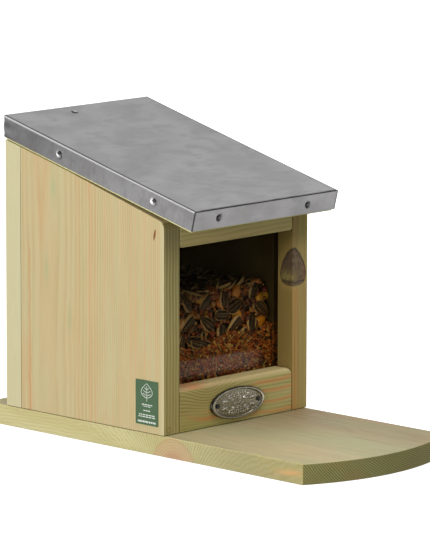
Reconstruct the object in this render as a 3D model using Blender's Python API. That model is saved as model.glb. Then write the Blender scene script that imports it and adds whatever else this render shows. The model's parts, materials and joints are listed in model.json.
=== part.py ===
"""A wooden feeding house with a hinged, metal-covered lid, on a long base board with a rounded front end.

Metres, +Z up.  The window faces -Y, +X is the right-hand side seen from the window, and the origin is the
centre of the base board's underside.  The lid's pieces hang from an empty on the hinge axis.
"""

import math
from collections import namedtuple

import bmesh
import bpy
from mathutils import Matrix, Vector

MM = 0.001
GAP = 0.3 * MM  # clearance kept between pieces that touch
CUT = 0.5 * MM  # how far a cutter runs out past the face that it opens
SMOOTH_UP_TO = math.radians(35)
FASTENER_SIDES = 12
HINGE_SIDES = 24
OVAL_SIDES = 48
BASE_FRONT_STEPS = 24
SIDE_CORNER_STEPS = 8
BOARD_EDGE_STEPS = 6
BOARD_CORNER_STEPS = 5

# Base board
BASE_WIDTH = 112.0 * MM
BASE_LENGTH = 254.6 * MM
BASE_THICKNESS = 11.2 * MM
BASE_FRONT_BULGE = 14.2 * MM  # how far the rounded front end stands out past its two corners

# House
HOUSE_FRONT = -12.0 * MM
HOUSE_DEPTH = 122.2 * MM
HOUSE_BACK = HOUSE_FRONT + HOUSE_DEPTH
HOUSE_BOTTOM = BASE_THICKNESS + GAP
SIDE_THICKNESS = 11.9 * MM
BACK_THICKNESS = 11.6 * MM
HALF_WIDTH = BASE_WIDTH / 2
INNER_HALF_WIDTH = HALF_WIDTH - SIDE_THICKNESS
BACK_BOARD_FRONT = HOUSE_BACK - BACK_THICKNESS
SIDE_CORNER_RADIUS = 5.0 * MM
FRONT_GAP_UNDER_LID = 1.5 * MM  # the saw cut along the side's top falls away from the lid towards the front
LID_CONTACT_FROM = 73.0 * MM  # from the house front to where the side's top meets the lid

# Lid: positions up the slope are measured from the house front, heights from the flanges' lower edge
ROOF_ANGLE = math.radians(14.37)
ROOF_LINE_HEIGHT = BASE_THICKNESS + 118.3 * MM  # flanges' lower edge above the house front
ROOF_FRONT = -20.8 * MM
ROOF_BACK = HOUSE_BACK + 1.2 * MM
ROOF_TOP = 11.1 * MM
ROOF_HALF_WIDTH = 55.7 * MM
ROOF_BOARD_BELOW_FLANGE = 1.1 * MM
SHEET_THICKNESS = 0.6 * MM
SEAM_WIDTH = 0.35 * MM

# Front board, top rail and window
FRONT_BOARD_DEPTH = 11.1 * MM
FRONT_BOARD_HEIGHT = 24.0 * MM
FRONT_BOARD_RADIUS = 3.5 * MM
FRONT_BOARD_CORNER_RADIUS = 2.5 * MM
RAIL_BOTTOM = BASE_THICKNESS + 100.7 * MM
RAIL_CORNER_RADIUS = 2.0 * MM
GROOVE_FRONT = HOUSE_FRONT + 11.1 * MM
GROOVE_WIDTH = 3.3 * MM
GROOVE_DEPTH = 4.5 * MM
PANE_THICKNESS = 2.0 * MM
PANE_TOP = BASE_THICKNESS + 119.0 * MM

# Seeds
SEED_TOP = BASE_THICKNESS + 69.0 * MM
SEED_BUMP = 2.5 * MM
SEED_CELLS = 10
# Waves of its uneven top, in radians over the heap's width and over its depth
SEED_RIPPLE = (7.0, 2.0)
SEED_SWELL = (-3.0, 5.0)

# Oval plate and paper label
PLATE_HALF_WIDTH = 21.0 * MM
PLATE_HALF_HEIGHT = 8.7 * MM
PLATE_THICKNESS = 1.6 * MM
PLATE_RIM = 1.5 * MM
PLATE_RECESS = 0.6 * MM
PLATE_HEIGHT = BASE_THICKNESS + 11.0 * MM
PLATE_NAIL_OFFSET = 16.0 * MM
LABEL_FRONT = HOUSE_FRONT + 4.2 * MM
LABEL_BACK = HOUSE_FRONT + 21.1 * MM
LABEL_BOTTOM = BASE_THICKNESS + 4.6 * MM
LABEL_TOP = BASE_THICKNESS + 29.0 * MM
LABEL_THICKNESS = 0.2 * MM
LABEL_GLUE = 0.15 * MM

# Hinges on the back
HINGE_AXIS_Y = ROOF_BACK + 2.3 * MM
HINGE_AXIS_Z = BASE_THICKNESS + 148.45 * MM
HINGE_OFFSET = 32.0 * MM
HINGE_WIDTH = 24.0 * MM
KNUCKLE_WIDTH = HINGE_WIDTH / 3
KNUCKLE_RADIUS = 2.0 * MM
BORE_RADIUS = 0.9 * MM
PIN_RADIUS = 0.8 * MM
LEAF_THICKNESS = 0.8 * MM
HOUSE_LEAF_HEIGHT = 11.0 * MM
ROOF_LEAF_HEIGHT = 9.0 * MM
KNUCKLE_CLEARANCE = 2.3 * MM  # radius about the axis that only the knuckles enter
HINGE_SCREW_OFFSET = 8.0 * MM

# Fasteners
Fastener = namedtuple("Fastener", "shank_radius shank_length head_radius head_thickness")
SHEET_NAIL = Fastener(0.8 * MM, 14.0 * MM, 1.5 * MM, 0.5 * MM)
SHEET_TOP_NAIL = Fastener(0.8 * MM, 7.5 * MM, 1.5 * MM, 0.5 * MM)
PLATE_NAIL = Fastener(0.7 * MM, 7.0 * MM, 1.3 * MM, 0.5 * MM)
HINGE_SCREW = Fastener(0.9 * MM, 8.0 * MM, 1.8 * MM, 0.9 * MM)
BACK_NAIL = Fastener(0.9 * MM, 30.0 * MM, 1.7 * MM, 0.6 * MM)
BASE_SCREW = Fastener(1.5 * MM, 26.0 * MM, 3.0 * MM, 2.0 * MM)
DIMPLE_DEPTH = 0.9 * MM
DIMPLE_RADIUS = 2.7 * MM
HEAD_SINK = 0.5 * MM
FORWARD = Vector((0, -1, 0))
BACKWARD = Vector((0, 1, 0))
UP = Vector((0, 0, 1))
RIGHT = Vector((1, 0, 0))

# Where the fasteners sit: up the slope and above the flange's edge, or across and above it
SIDE_FLANGE_NAILS = (("front", 10.3 * MM, 5.8 * MM), ("back", 85.0 * MM, 5.5 * MM))
FRONT_FLANGE_NAILS = (("left", -36.2 * MM, 6.0 * MM), ("right", 33.1 * MM, 5.4 * MM))
TOP_NAIL = (-9.0 * MM, 122.7 * MM)
SIDE_JOINT_X = HALF_WIDTH - SIDE_THICKNESS / 2
BACK_NAIL_HEIGHTS = (35.0 * MM, 80.0 * MM, 125.0 * MM)
BASE_SCREW_PAIRS = (
    (SIDE_JOINT_X, HOUSE_FRONT + 30.0 * MM),
    (SIDE_JOINT_X, HOUSE_FRONT + 85.0 * MM),
    (28.0 * MM, BACK_BOARD_FRONT + BACK_THICKNESS / 2),
    (30.0 * MM, HOUSE_FRONT + 5.8 * MM),
)

# Colour, roughness and metallic value of each material
FINISHES = {
    "pine_base": ((0.42, 0.36, 0.20, 1.0), 0.65, 0.0),
    "pine_side": ((0.60, 0.50, 0.27, 1.0), 0.60, 0.0),
    "pine_back": ((0.55, 0.50, 0.30, 1.0), 0.65, 0.0),
    "pine_front": ((0.38, 0.31, 0.15, 1.0), 0.65, 0.0),
    "pine_lid": ((0.60, 0.56, 0.34, 1.0), 0.65, 0.0),
    "zinc_sheet": ((0.33, 0.33, 0.34, 1.0), 0.45, 0.9),
    "clear_pane": ((0.80, 0.85, 0.85, 0.35), 0.05, 0.0),
    "mixed_seed": ((0.18, 0.11, 0.05, 1.0), 0.80, 0.0),
    "aged_pewter": ((0.30, 0.29, 0.26, 1.0), 0.45, 0.9),
    "green_paper": ((0.06, 0.14, 0.07, 1.0), 0.60, 0.0),
    "zinc_steel": ((0.45, 0.45, 0.45, 1.0), 0.40, 1.0),
}


def clear_scene():
    """Remove the objects that the scene starts with."""
    for item in list(bpy.data.objects):
        bpy.data.objects.remove(item, do_unlink=True)


def make_materials():
    """One Principled material for each finish."""
    made = {}
    for name, (colour, roughness, metallic) in FINISHES.items():
        material = bpy.data.materials.new(name)
        material.use_nodes = True
        shader = material.node_tree.nodes["Principled BSDF"]
        shader.inputs["Base Color"].default_value = colour
        shader.inputs["Roughness"].default_value = roughness
        shader.inputs["Metallic"].default_value = metallic
        shader.inputs["Alpha"].default_value = colour[3]
        material.diffuse_color = colour
        made[name] = material
    return made


def add_object(name, shape, material=None):
    """Turn a bmesh into an object with outward faces and smooth round sides."""
    bmesh.ops.recalc_face_normals(shape, faces=shape.faces)
    mesh = bpy.data.meshes.new(name)
    shape.to_mesh(mesh)
    shape.free()
    mesh.shade_smooth()
    mesh.set_sharp_from_angle(angle=SMOOTH_UP_TO)
    item = bpy.data.objects.new(name, mesh)
    bpy.context.scene.collection.objects.link(item)
    if material:
        mesh.materials.append(material)
    return item


def boolean(target, name, shape, operation="DIFFERENCE"):
    """Cut a target with, or keep what it shares with, the solids of a bmesh."""
    cutter = add_object(name, shape)
    cutter.hide_render = True
    cutter.display_type = "WIRE"
    modifier = target.modifiers.new(name, "BOOLEAN")
    modifier.operation = operation
    modifier.solver = "EXACT"
    modifier.object = cutter


def add_prism(shape, outline, axis, low, high):
    """Extrude a closed outline along X, Y or Z; its points are given in the other two axes' order."""
    place = {
        "X": lambda a, b, along: (along, a, b),
        "Y": lambda a, b, along: (a, along, b),
        "Z": lambda a, b, along: (a, b, along),
    }[axis]
    ends = [[shape.verts.new(place(a, b, level)) for a, b in outline] for level in (low, high)]
    shape.faces.new(ends[0])
    shape.faces.new(reversed(ends[1]))
    for i in range(len(outline)):
        j = (i + 1) % len(outline)
        shape.faces.new((ends[0][i], ends[0][j], ends[1][j], ends[1][i]))


def add_box(shape, low, high):
    """Add a box between two opposite corners."""
    corners = [(low[0], low[1]), (high[0], low[1]), (high[0], high[1]), (low[0], high[1])]
    add_prism(shape, corners, "Z", low[2], high[2])


def add_turned(shape, start, direction, profile, sides=FASTENER_SIDES):
    """Turn (distance, radius) steps about the line from start along direction, with flat ends."""
    turn = UP.rotation_difference(direction).to_matrix().to_4x4()
    frame = Matrix.Translation(Vector(start)) @ turn
    rings = []
    for distance, radius in profile:
        ring = []
        for k in range(sides):
            angle = math.tau * (k + 0.5) / sides
            point = Vector((radius * math.cos(angle), radius * math.sin(angle), distance))
            ring.append(shape.verts.new(frame @ point))
        rings.append(ring)
    shape.faces.new(rings[0])
    shape.faces.new(reversed(rings[-1]))
    for near, far in zip(rings, rings[1:]):
        for k in range(sides):
            m = (k + 1) % sides
            shape.faces.new((near[k], near[m], far[m], far[k]))


def arc(centre, radius, start, end, steps):
    """Points along an arc between two angles in degrees."""
    angles = [math.radians(start + (end - start) * k / steps) for k in range(steps + 1)]
    return [(centre[0] + radius * math.cos(t), centre[1] + radius * math.sin(t)) for t in angles]


def roof_yz(along, height):
    """World Y and Z of a place up the slope from the house front and above the flanges' lower edge."""
    y = HOUSE_FRONT + along * math.cos(ROOF_ANGLE) - height * math.sin(ROOF_ANGLE)
    z = ROOF_LINE_HEIGHT + along * math.sin(ROOF_ANGLE) + height * math.cos(ROOF_ANGLE)
    return y, z


def roof_z(y, height):
    """Height of a line parallel to the roof, at a given world Y."""
    rise = (y - HOUSE_FRONT) * math.tan(ROOF_ANGLE)
    return ROOF_LINE_HEIGHT + rise + height / math.cos(ROOF_ANGLE)


def roof_outline(front, low, high, back=ROOF_BACK):
    """Side outline of a slab of the roof: square to the slope in front and plumb at the back."""
    return [
        roof_yz(front, low),
        (back, roof_z(back, low)),
        (back, roof_z(back, high)),
        roof_yz(front, high),
    ]


def house_top(y):
    """Top of the side panels: close under the lid at the back, falling away towards the front."""
    reach = y - HOUSE_FRONT
    extra = FRONT_GAP_UNDER_LID * max(0.0, 1 - reach / LID_CONTACT_FROM)
    return roof_z(y, -ROOF_BOARD_BELOW_FLANGE) - GAP - extra


def add_fastener(name, seat, inward, size, material):
    """A nail or screw: the head's underside at the seat and the shank running inward from it."""
    steps = (
        (-size.head_thickness, size.head_radius),
        (0.0, size.head_radius),
        (0.0, size.shank_radius),
        (size.shank_length, size.shank_radius),
    )
    shape = bmesh.new()
    add_turned(shape, seat, inward, steps)
    add_object(name, shape, material)


def sunk_hole(shape, seat, inward, size):
    """The clearance hole for a fastener whose head is sunk below the face that it goes in through."""
    mouth = HEAD_SINK + size.head_thickness + CUT
    steps = (
        (-mouth, size.head_radius + GAP),
        (GAP, size.head_radius + GAP),
        (GAP, size.shank_radius + GAP),
        (size.shank_length + GAP, size.shank_radius + GAP),
    )
    add_turned(shape, seat, inward, steps)


def shank_hole(shape, seat, inward, size, lead=0.0):
    """The clearance hole for a shank alone, starting a little before its seat."""
    radius = size.shank_radius + GAP
    add_turned(shape, seat, inward, ((-lead, radius), (size.shank_length + GAP, radius)))


def base_screw_seats():
    """Seat of each screw in the base board's underside."""
    sink = HEAD_SINK + BASE_SCREW.head_thickness
    return [Vector((side * x, y, sink)) for x, y in BASE_SCREW_PAIRS for side in (-1, 1)]


def back_nail_seats(side):
    """Seats of the nails that hold the back board to one side panel."""
    depth = HOUSE_BACK - HEAD_SINK - BACK_NAIL.head_thickness
    return [Vector((side * SIDE_JOINT_X, depth, z)) for z in BACK_NAIL_HEIGHTS]


def sheet_nails():
    """(name, outer point on the sheet, inward direction) of every nail through the metal."""
    up_slope = Vector((0, math.cos(ROOF_ANGLE), math.sin(ROOF_ANGLE)))
    into_roof = Vector((0, math.sin(ROOF_ANGLE), -math.cos(ROOF_ANGLE)))
    nails = []
    for side, side_name in ((-1, "left"), (1, "right")):
        for place, along, height in SIDE_FLANGE_NAILS:
            y, z = roof_yz(along, height)
            point = Vector((side * ROOF_HALF_WIDTH, y, z))
            nails.append((f"{side_name}_flange_{place}_nail", point, Vector((-side, 0, 0))))
    for side_name, x, height in FRONT_FLANGE_NAILS:
        y, z = roof_yz(ROOF_FRONT, height)
        nails.append((f"front_flange_{side_name}_nail", Vector((x, y, z)), up_slope))
    x, along = TOP_NAIL
    y, z = roof_yz(along, ROOF_TOP)
    nails.append(("top_nail", Vector((x, y, z)), into_roof))
    return nails


def sheet_nail_size(name):
    """The top nail is shorter than the others, to stay inside the board."""
    return SHEET_TOP_NAIL if name == "top_nail" else SHEET_NAIL


def base_board(material):
    """Plank with a rounded front end, counterbored below for the house's screws."""
    radius = (HALF_WIDTH**2 + BASE_FRONT_BULGE**2) / (2 * BASE_FRONT_BULGE)
    half_angle = math.degrees(math.asin(HALF_WIDTH / radius))
    centre = (0.0, -BASE_LENGTH / 2 + radius)
    outline = arc(centre, radius, 270 - half_angle, 270 + half_angle, BASE_FRONT_STEPS)
    outline += [(HALF_WIDTH, BASE_LENGTH / 2), (-HALF_WIDTH, BASE_LENGTH / 2)]
    shape = bmesh.new()
    add_prism(shape, outline, "Z", 0.0, BASE_THICKNESS)
    board = add_object("base_board", shape, material)
    holes = bmesh.new()
    for seat in base_screw_seats():
        sunk_hole(holes, seat, UP, BASE_SCREW)
    boolean(board, "base_screw_holes", holes)


def side_panel(name, side, material):
    """Side panel with a rounded top front corner, a window groove and its screw and nail holes."""
    back = BACK_BOARD_FRONT - GAP
    radius = SIDE_CORNER_RADIUS
    corner_y = HOUSE_FRONT + radius
    corner_z = house_top(corner_y) - radius / math.cos(ROOF_ANGLE)
    kink = HOUSE_FRONT + LID_CONTACT_FROM
    outline = [(HOUSE_FRONT, HOUSE_BOTTOM), (back, HOUSE_BOTTOM), (back, house_top(back))]
    outline += [(kink, house_top(kink))]
    outline += arc((corner_y, corner_z), radius, 90 + math.degrees(ROOF_ANGLE), 180, SIDE_CORNER_STEPS)
    shape = bmesh.new()
    inner, outer = sorted((side * INNER_HALF_WIDTH, side * HALF_WIDTH))
    add_prism(shape, outline, "X", inner, outer)
    panel = add_object(name, shape, material)
    cuts = bmesh.new()
    groove = sorted((side * (INNER_HALF_WIDTH - CUT), side * (INNER_HALF_WIDTH + GROOVE_DEPTH)))
    low = (groove[0], GROOVE_FRONT, HOUSE_BOTTOM - CUT)
    high = (groove[1], GROOVE_FRONT + GROOVE_WIDTH, ROOF_LINE_HEIGHT + radius)
    add_box(cuts, low, high)
    for seat in base_screw_seats():
        if abs(seat.x - side * SIDE_JOINT_X) < radius and seat.y < back:
            shank_hole(cuts, seat, UP, BASE_SCREW)
    for seat in back_nail_seats(side):
        shank_hole(cuts, seat, FORWARD, BACK_NAIL)
    boolean(panel, name + "_cuts", cuts)


def back_board(material):
    """Back board behind the side panels, with its top cut to the roof's slope."""
    outline = [
        (BACK_BOARD_FRONT, HOUSE_BOTTOM),
        (HOUSE_BACK, HOUSE_BOTTOM),
        (HOUSE_BACK, house_top(HOUSE_BACK)),
        (BACK_BOARD_FRONT, house_top(BACK_BOARD_FRONT)),
    ]
    shape = bmesh.new()
    add_prism(shape, outline, "X", -HALF_WIDTH, HALF_WIDTH)
    board = add_object("back_board", shape, material)
    cuts = bmesh.new()
    for side in (-1, 1):
        for seat in back_nail_seats(side):
            sunk_hole(cuts, seat, FORWARD, BACK_NAIL)
    for seat in base_screw_seats():
        if seat.y > BACK_BOARD_FRONT:
            shank_hole(cuts, seat, UP, BASE_SCREW)
    for seat in hinge_screw_seats("house"):
        shank_hole(cuts, seat, FORWARD, HINGE_SCREW)
    boolean(board, "back_board_cuts", cuts)


def front_board(material):
    """Low board under the window, with a rounded top edge and softened ends."""
    radius = FRONT_BOARD_RADIUS
    back = HOUSE_FRONT + FRONT_BOARD_DEPTH - GAP
    top = BASE_THICKNESS + FRONT_BOARD_HEIGHT
    outline = [(HOUSE_FRONT, HOUSE_BOTTOM), (back, HOUSE_BOTTOM), (back, top)]
    outline += arc((HOUSE_FRONT + radius, top - radius), radius, 90, 180, BOARD_EDGE_STEPS)
    half = INNER_HALF_WIDTH - GAP
    shape = bmesh.new()
    add_prism(shape, outline, "X", -half, half)
    board = add_object("front_board", shape, material)
    corner = FRONT_BOARD_CORNER_RADIUS
    ends = [(-half, HOUSE_BOTTOM - CUT), (half, HOUSE_BOTTOM - CUT)]
    ends += arc((half - corner, top - corner), corner, 0, 90, BOARD_CORNER_STEPS)
    ends += arc((-half + corner, top - corner), corner, 90, 180, BOARD_CORNER_STEPS)
    front_view = bmesh.new()
    add_prism(front_view, ends, "Y", HOUSE_FRONT - CUT, back + CUT)
    boolean(board, "front_board_ends", front_view, "INTERSECT")
    cuts = bmesh.new()
    for seat in base_screw_seats():
        if seat.y < back:
            shank_hole(cuts, seat, UP, BASE_SCREW)
    for seat in plate_nail_seats():
        shank_hole(cuts, seat, BACKWARD, PLATE_NAIL)
    boolean(board, "front_board_holes", cuts)


def top_rail(material):
    """Rail above the window, close under the lid, with softened lower corners."""
    back = HOUSE_FRONT + FRONT_BOARD_DEPTH - GAP
    side = [
        (HOUSE_FRONT, RAIL_BOTTOM),
        (back, RAIL_BOTTOM),
        (back, house_top(back)),
        (HOUSE_FRONT, house_top(HOUSE_FRONT)),
    ]
    half = INNER_HALF_WIDTH - GAP
    shape = bmesh.new()
    add_prism(shape, side, "X", -half, half)
    rail = add_object("top_rail", shape, material)
    radius = RAIL_CORNER_RADIUS
    ends = arc((-half + radius, RAIL_BOTTOM + radius), radius, 180, 270, BOARD_CORNER_STEPS)
    ends += arc((half - radius, RAIL_BOTTOM + radius), radius, 270, 360, BOARD_CORNER_STEPS)
    ends += [(half, ROOF_LINE_HEIGHT + radius), (-half, ROOF_LINE_HEIGHT + radius)]
    front_view = bmesh.new()
    add_prism(front_view, ends, "Y", HOUSE_FRONT - CUT, back + CUT)
    boolean(rail, "top_rail_ends", front_view, "INTERSECT")


def window_pane(material):
    """Clear sheet that stands in the side panels' grooves."""
    half = INNER_HALF_WIDTH + GROOVE_DEPTH - GAP
    back = GROOVE_FRONT + GROOVE_WIDTH - GAP
    shape = bmesh.new()
    add_box(shape, (-half, back - PANE_THICKNESS, HOUSE_BOTTOM), (half, back, PANE_TOP))
    add_object("window_pane", shape, material)


def seed_fill(material):
    """Heap of mixed seeds that fills the house behind the window, with an uneven top."""
    half = INNER_HALF_WIDTH - GAP
    front = GROOVE_FRONT + GROOVE_WIDTH + GAP
    back = BACK_BOARD_FRONT - GAP
    steps = [k / SEED_CELLS for k in range(SEED_CELLS + 1)]
    shape = bmesh.new()
    top = []
    floor = []
    for v in steps:
        top_row = []
        floor_row = []
        for u in steps:
            x = -half + 2 * half * u
            y = front + (back - front) * v
            ripple = math.sin(SEED_RIPPLE[0] * u + SEED_RIPPLE[1] * v)
            bump = ripple * math.cos(SEED_SWELL[0] * u + SEED_SWELL[1] * v)
            top_row.append(shape.verts.new((x, y, SEED_TOP + SEED_BUMP * bump)))
            floor_row.append(shape.verts.new((x, y, HOUSE_BOTTOM)))
        top.append(top_row)
        floor.append(floor_row)
    last = SEED_CELLS
    for i in range(last):
        for j in range(last):
            shape.faces.new((top[i][j], top[i][j + 1], top[i + 1][j + 1], top[i + 1][j]))
            shape.faces.new((floor[i][j], floor[i + 1][j], floor[i + 1][j + 1], floor[i][j + 1]))
    for k in range(last):
        shape.faces.new((floor[0][k], floor[0][k + 1], top[0][k + 1], top[0][k]))
        shape.faces.new((floor[last][k], top[last][k], top[last][k + 1], floor[last][k + 1]))
        shape.faces.new((floor[k][0], top[k][0], top[k + 1][0], floor[k + 1][0]))
        shape.faces.new((floor[k][last], floor[k + 1][last], top[k + 1][last], top[k][last]))
    add_object("seed_fill", shape, material)


def roof_board(material):
    """Lid board: square front end, plumb back end, pockets for the nails and holes for the hinges."""
    front = ROOF_FRONT + SHEET_THICKNESS + GAP
    top = ROOF_TOP - SHEET_THICKNESS - GAP
    half = ROOF_HALF_WIDTH - SHEET_THICKNESS - GAP
    shape = bmesh.new()
    outline = roof_outline(front, -ROOF_BOARD_BELOW_FLANGE, top)
    add_prism(shape, outline, "X", -half, half)
    board = add_object("roof_board", shape, material)
    cuts = bmesh.new()
    mouth = SHEET_THICKNESS + GAP
    for name, point, inward in sheet_nails():
        size = sheet_nail_size(name)
        pocket = (
            (mouth - GAP, DIMPLE_RADIUS + SHEET_THICKNESS + GAP),
            (mouth, DIMPLE_RADIUS + SHEET_THICKNESS + GAP),
            (DIMPLE_DEPTH + mouth, size.head_radius + SHEET_THICKNESS + 2 * GAP),
            (DIMPLE_DEPTH + mouth, size.shank_radius + GAP),
            (DIMPLE_DEPTH + size.shank_length + GAP, size.shank_radius + GAP),
        )
        add_turned(cuts, point, inward, pocket)
    for seat in hinge_screw_seats("roof"):
        shank_hole(cuts, seat, FORWARD, HINGE_SCREW)
    boolean(board, "roof_board_cuts", cuts)


def roof_sheet(material):
    """Folded metal cover with flanges on the sides and the front, dimpled at each nail."""
    past_flange = ROOF_BOARD_BELOW_FLANGE
    shape = bmesh.new()
    add_prism(shape, roof_outline(ROOF_FRONT, 0.0, ROOF_TOP), "X", -ROOF_HALF_WIDTH, ROOF_HALF_WIDTH)
    sheet = add_object("roof_sheet", shape, material)
    hollow = bmesh.new()
    inner_half = ROOF_HALF_WIDTH - SHEET_THICKNESS
    inner_front = ROOF_FRONT + SHEET_THICKNESS
    inner_top = ROOF_TOP - SHEET_THICKNESS
    inside = roof_outline(inner_front, -past_flange, inner_top, ROOF_BACK + past_flange)
    add_prism(hollow, inside, "X", -inner_half, inner_half)
    boolean(sheet, "roof_sheet_hollow", hollow)
    bulges = bmesh.new()
    for name, point, inward in sheet_nails():
        end_radius = sheet_nail_size(name).head_radius + SHEET_THICKNESS + GAP
        bulge = (
            (SHEET_THICKNESS / 2, DIMPLE_RADIUS + SHEET_THICKNESS),
            (SHEET_THICKNESS, DIMPLE_RADIUS + SHEET_THICKNESS),
            (DIMPLE_DEPTH + SHEET_THICKNESS, end_radius),
        )
        add_turned(bulges, point, inward, bulge)
    boolean(sheet, "roof_sheet_bulges", bulges, "UNION")
    cuts = bmesh.new()
    for name, point, inward in sheet_nails():
        size = sheet_nail_size(name)
        dimple = (
            (-CUT, DIMPLE_RADIUS + CUT),
            (DIMPLE_DEPTH, size.head_radius + GAP),
            (DIMPLE_DEPTH, size.shank_radius + GAP),
            (DIMPLE_DEPTH + SHEET_THICKNESS + CUT, size.shank_radius + GAP),
        )
        add_turned(cuts, point, inward, dimple)
    seam = [
        roof_yz(ROOF_FRONT - CUT, -past_flange),
        roof_yz(inner_front + CUT, -past_flange),
        roof_yz(inner_front + CUT, inner_top),
        roof_yz(ROOF_FRONT - CUT, inner_top),
    ]
    for side in (-1, 1):
        low, high = sorted((side * inner_half, side * (inner_half - SEAM_WIDTH)))
        add_prism(cuts, seam, "X", low, high)
    boolean(sheet, "roof_sheet_cuts", cuts)


def add_sheet_nails(material):
    """The nails through the metal, with their heads down in its dimples."""
    for name, point, inward in sheet_nails():
        seat = point + inward * (DIMPLE_DEPTH - GAP)
        add_fastener(name, seat, inward, sheet_nail_size(name), material)


def oval_plate(material):
    """Oval metal plate with a raised rim, on the front board."""
    back = HOUSE_FRONT - GAP
    shape = bmesh.new()
    outer = oval(PLATE_HALF_WIDTH, PLATE_HALF_HEIGHT)
    add_prism(shape, outer, "Y", back - PLATE_THICKNESS, back)
    plate = add_object("oval_plate", shape, material)
    cuts = bmesh.new()
    floor = back - PLATE_THICKNESS + PLATE_RECESS
    inner = oval(PLATE_HALF_WIDTH - PLATE_RIM, PLATE_HALF_HEIGHT - PLATE_RIM)
    add_prism(cuts, inner, "Y", back - PLATE_THICKNESS - CUT, floor)
    boolean(plate, "oval_plate_recess", cuts)
    holes = bmesh.new()
    for seat in plate_nail_seats():
        shank_hole(holes, seat, BACKWARD, PLATE_NAIL, PLATE_THICKNESS)
    boolean(plate, "oval_plate_holes", holes)


def oval(half_width, half_height):
    """Points of an ellipse on the front board."""
    angles = [math.tau * k / OVAL_SIDES for k in range(OVAL_SIDES)]
    return [(half_width * math.cos(t), PLATE_HEIGHT + half_height * math.sin(t)) for t in angles]


def plate_nail_seats():
    """Undersides of the plate nails' heads."""
    y = HOUSE_FRONT - GAP - PLATE_THICKNESS + PLATE_RECESS - GAP
    return [Vector((side * PLATE_NAIL_OFFSET, y, PLATE_HEIGHT)) for side in (-1, 1)]


def paper_label(material):
    """Rectangular paper label on the left panel's outer face."""
    outer = -HALF_WIDTH - LABEL_GLUE - LABEL_THICKNESS
    shape = bmesh.new()
    low = (outer, LABEL_FRONT, LABEL_BOTTOM)
    high = (outer + LABEL_THICKNESS, LABEL_BACK, LABEL_TOP)
    add_box(shape, low, high)
    add_object("paper_label", shape, material)


def leaf_face(part):
    """Y of the inner face of a hinge leaf."""
    return (ROOF_BACK if part == "roof" else HOUSE_BACK) + GAP


def leaf_levels(part):
    """Lowest and highest Z of a hinge leaf's flat."""
    if part == "roof":
        low = HINGE_AXIS_Z + KNUCKLE_CLEARANCE
        return low, low + ROOF_LEAF_HEIGHT
    high = house_top(HOUSE_BACK) - 2 * GAP
    return high - HOUSE_LEAF_HEIGHT, high


def hinge_screw_seats(part, places=(-1, 1)):
    """Undersides of the hinge screws' heads, on the roof's or on the house's leaves."""
    low, high = leaf_levels(part)
    y = leaf_face(part) + LEAF_THICKNESS + GAP
    seats = []
    for place in places:
        for side in (-1, 1):
            x = place * HINGE_OFFSET + side * HINGE_SCREW_OFFSET
            seats.append(Vector((x, y, (low + high) / 2)))
    return seats


def hinge_leaf(name, place, part, material):
    """A leaf and its knuckles: two outer ones on the house, the middle one on the roof."""
    centre = place * HINGE_OFFSET
    half = HINGE_WIDTH / 2
    face = leaf_face(part)
    low, high = leaf_levels(part)
    plate = bmesh.new()
    add_box(plate, (centre - half, face, low), (centre + half, face + LEAF_THICKNESS, high))
    leaf = add_object(name, plate, material)
    axis_start = (HINGE_AXIS_Y, HINGE_AXIS_Z)
    spans = [(-half, -half + KNUCKLE_WIDTH), (half - KNUCKLE_WIDTH, half)]
    if part == "roof":
        spans = [(-KNUCKLE_WIDTH / 2 + GAP, KNUCKLE_WIDTH / 2 - GAP)]
    webs = bmesh.new()
    barrels = bmesh.new()
    for start, end in spans:
        if part == "roof":
            low_corner = (centre + start, face, HINGE_AXIS_Z)
            high_corner = (centre + end, face + LEAF_THICKNESS, low + KNUCKLE_RADIUS)
        else:
            low_corner = (centre + start, face, high - KNUCKLE_RADIUS)
            high_corner = (centre + end, HINGE_AXIS_Y, high)
        add_box(webs, low_corner, high_corner)
        barrel = ((0.0, KNUCKLE_RADIUS), (end - start, KNUCKLE_RADIUS))
        add_turned(barrels, (centre + start, *axis_start), RIGHT, barrel, HINGE_SIDES)
    boolean(leaf, name + "_webs", webs, "UNION")
    boolean(leaf, name + "_barrels", barrels, "UNION")
    holes = bmesh.new()
    bore = ((-CUT, BORE_RADIUS), (HINGE_WIDTH + CUT, BORE_RADIUS))
    add_turned(holes, (centre - half, *axis_start), RIGHT, bore, HINGE_SIDES)
    for seat in hinge_screw_seats(part, (place,)):
        radius = HINGE_SCREW.shank_radius + GAP
        through = ((-CUT, radius), (LEAF_THICKNESS + GAP + CUT, radius))
        add_turned(holes, seat, FORWARD, through)
    boolean(leaf, name + "_holes", holes)


def hinge_pin(name, place, material):
    """Pin through the knuckles of one hinge."""
    start = (place * HINGE_OFFSET - HINGE_WIDTH / 2, HINGE_AXIS_Y, HINGE_AXIS_Z)
    shape = bmesh.new()
    pin = ((0.0, PIN_RADIUS), (HINGE_WIDTH, PIN_RADIUS))
    add_turned(shape, start, RIGHT, pin, HINGE_SIDES)
    add_object(name, shape, material)


def add_fasteners(name, seats, inward, size, material):
    """A row of equal fasteners, numbered from 1."""
    for number, seat in enumerate(seats, 1):
        add_fastener(f"{name}_{number}", seat, inward, size, material)


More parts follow.
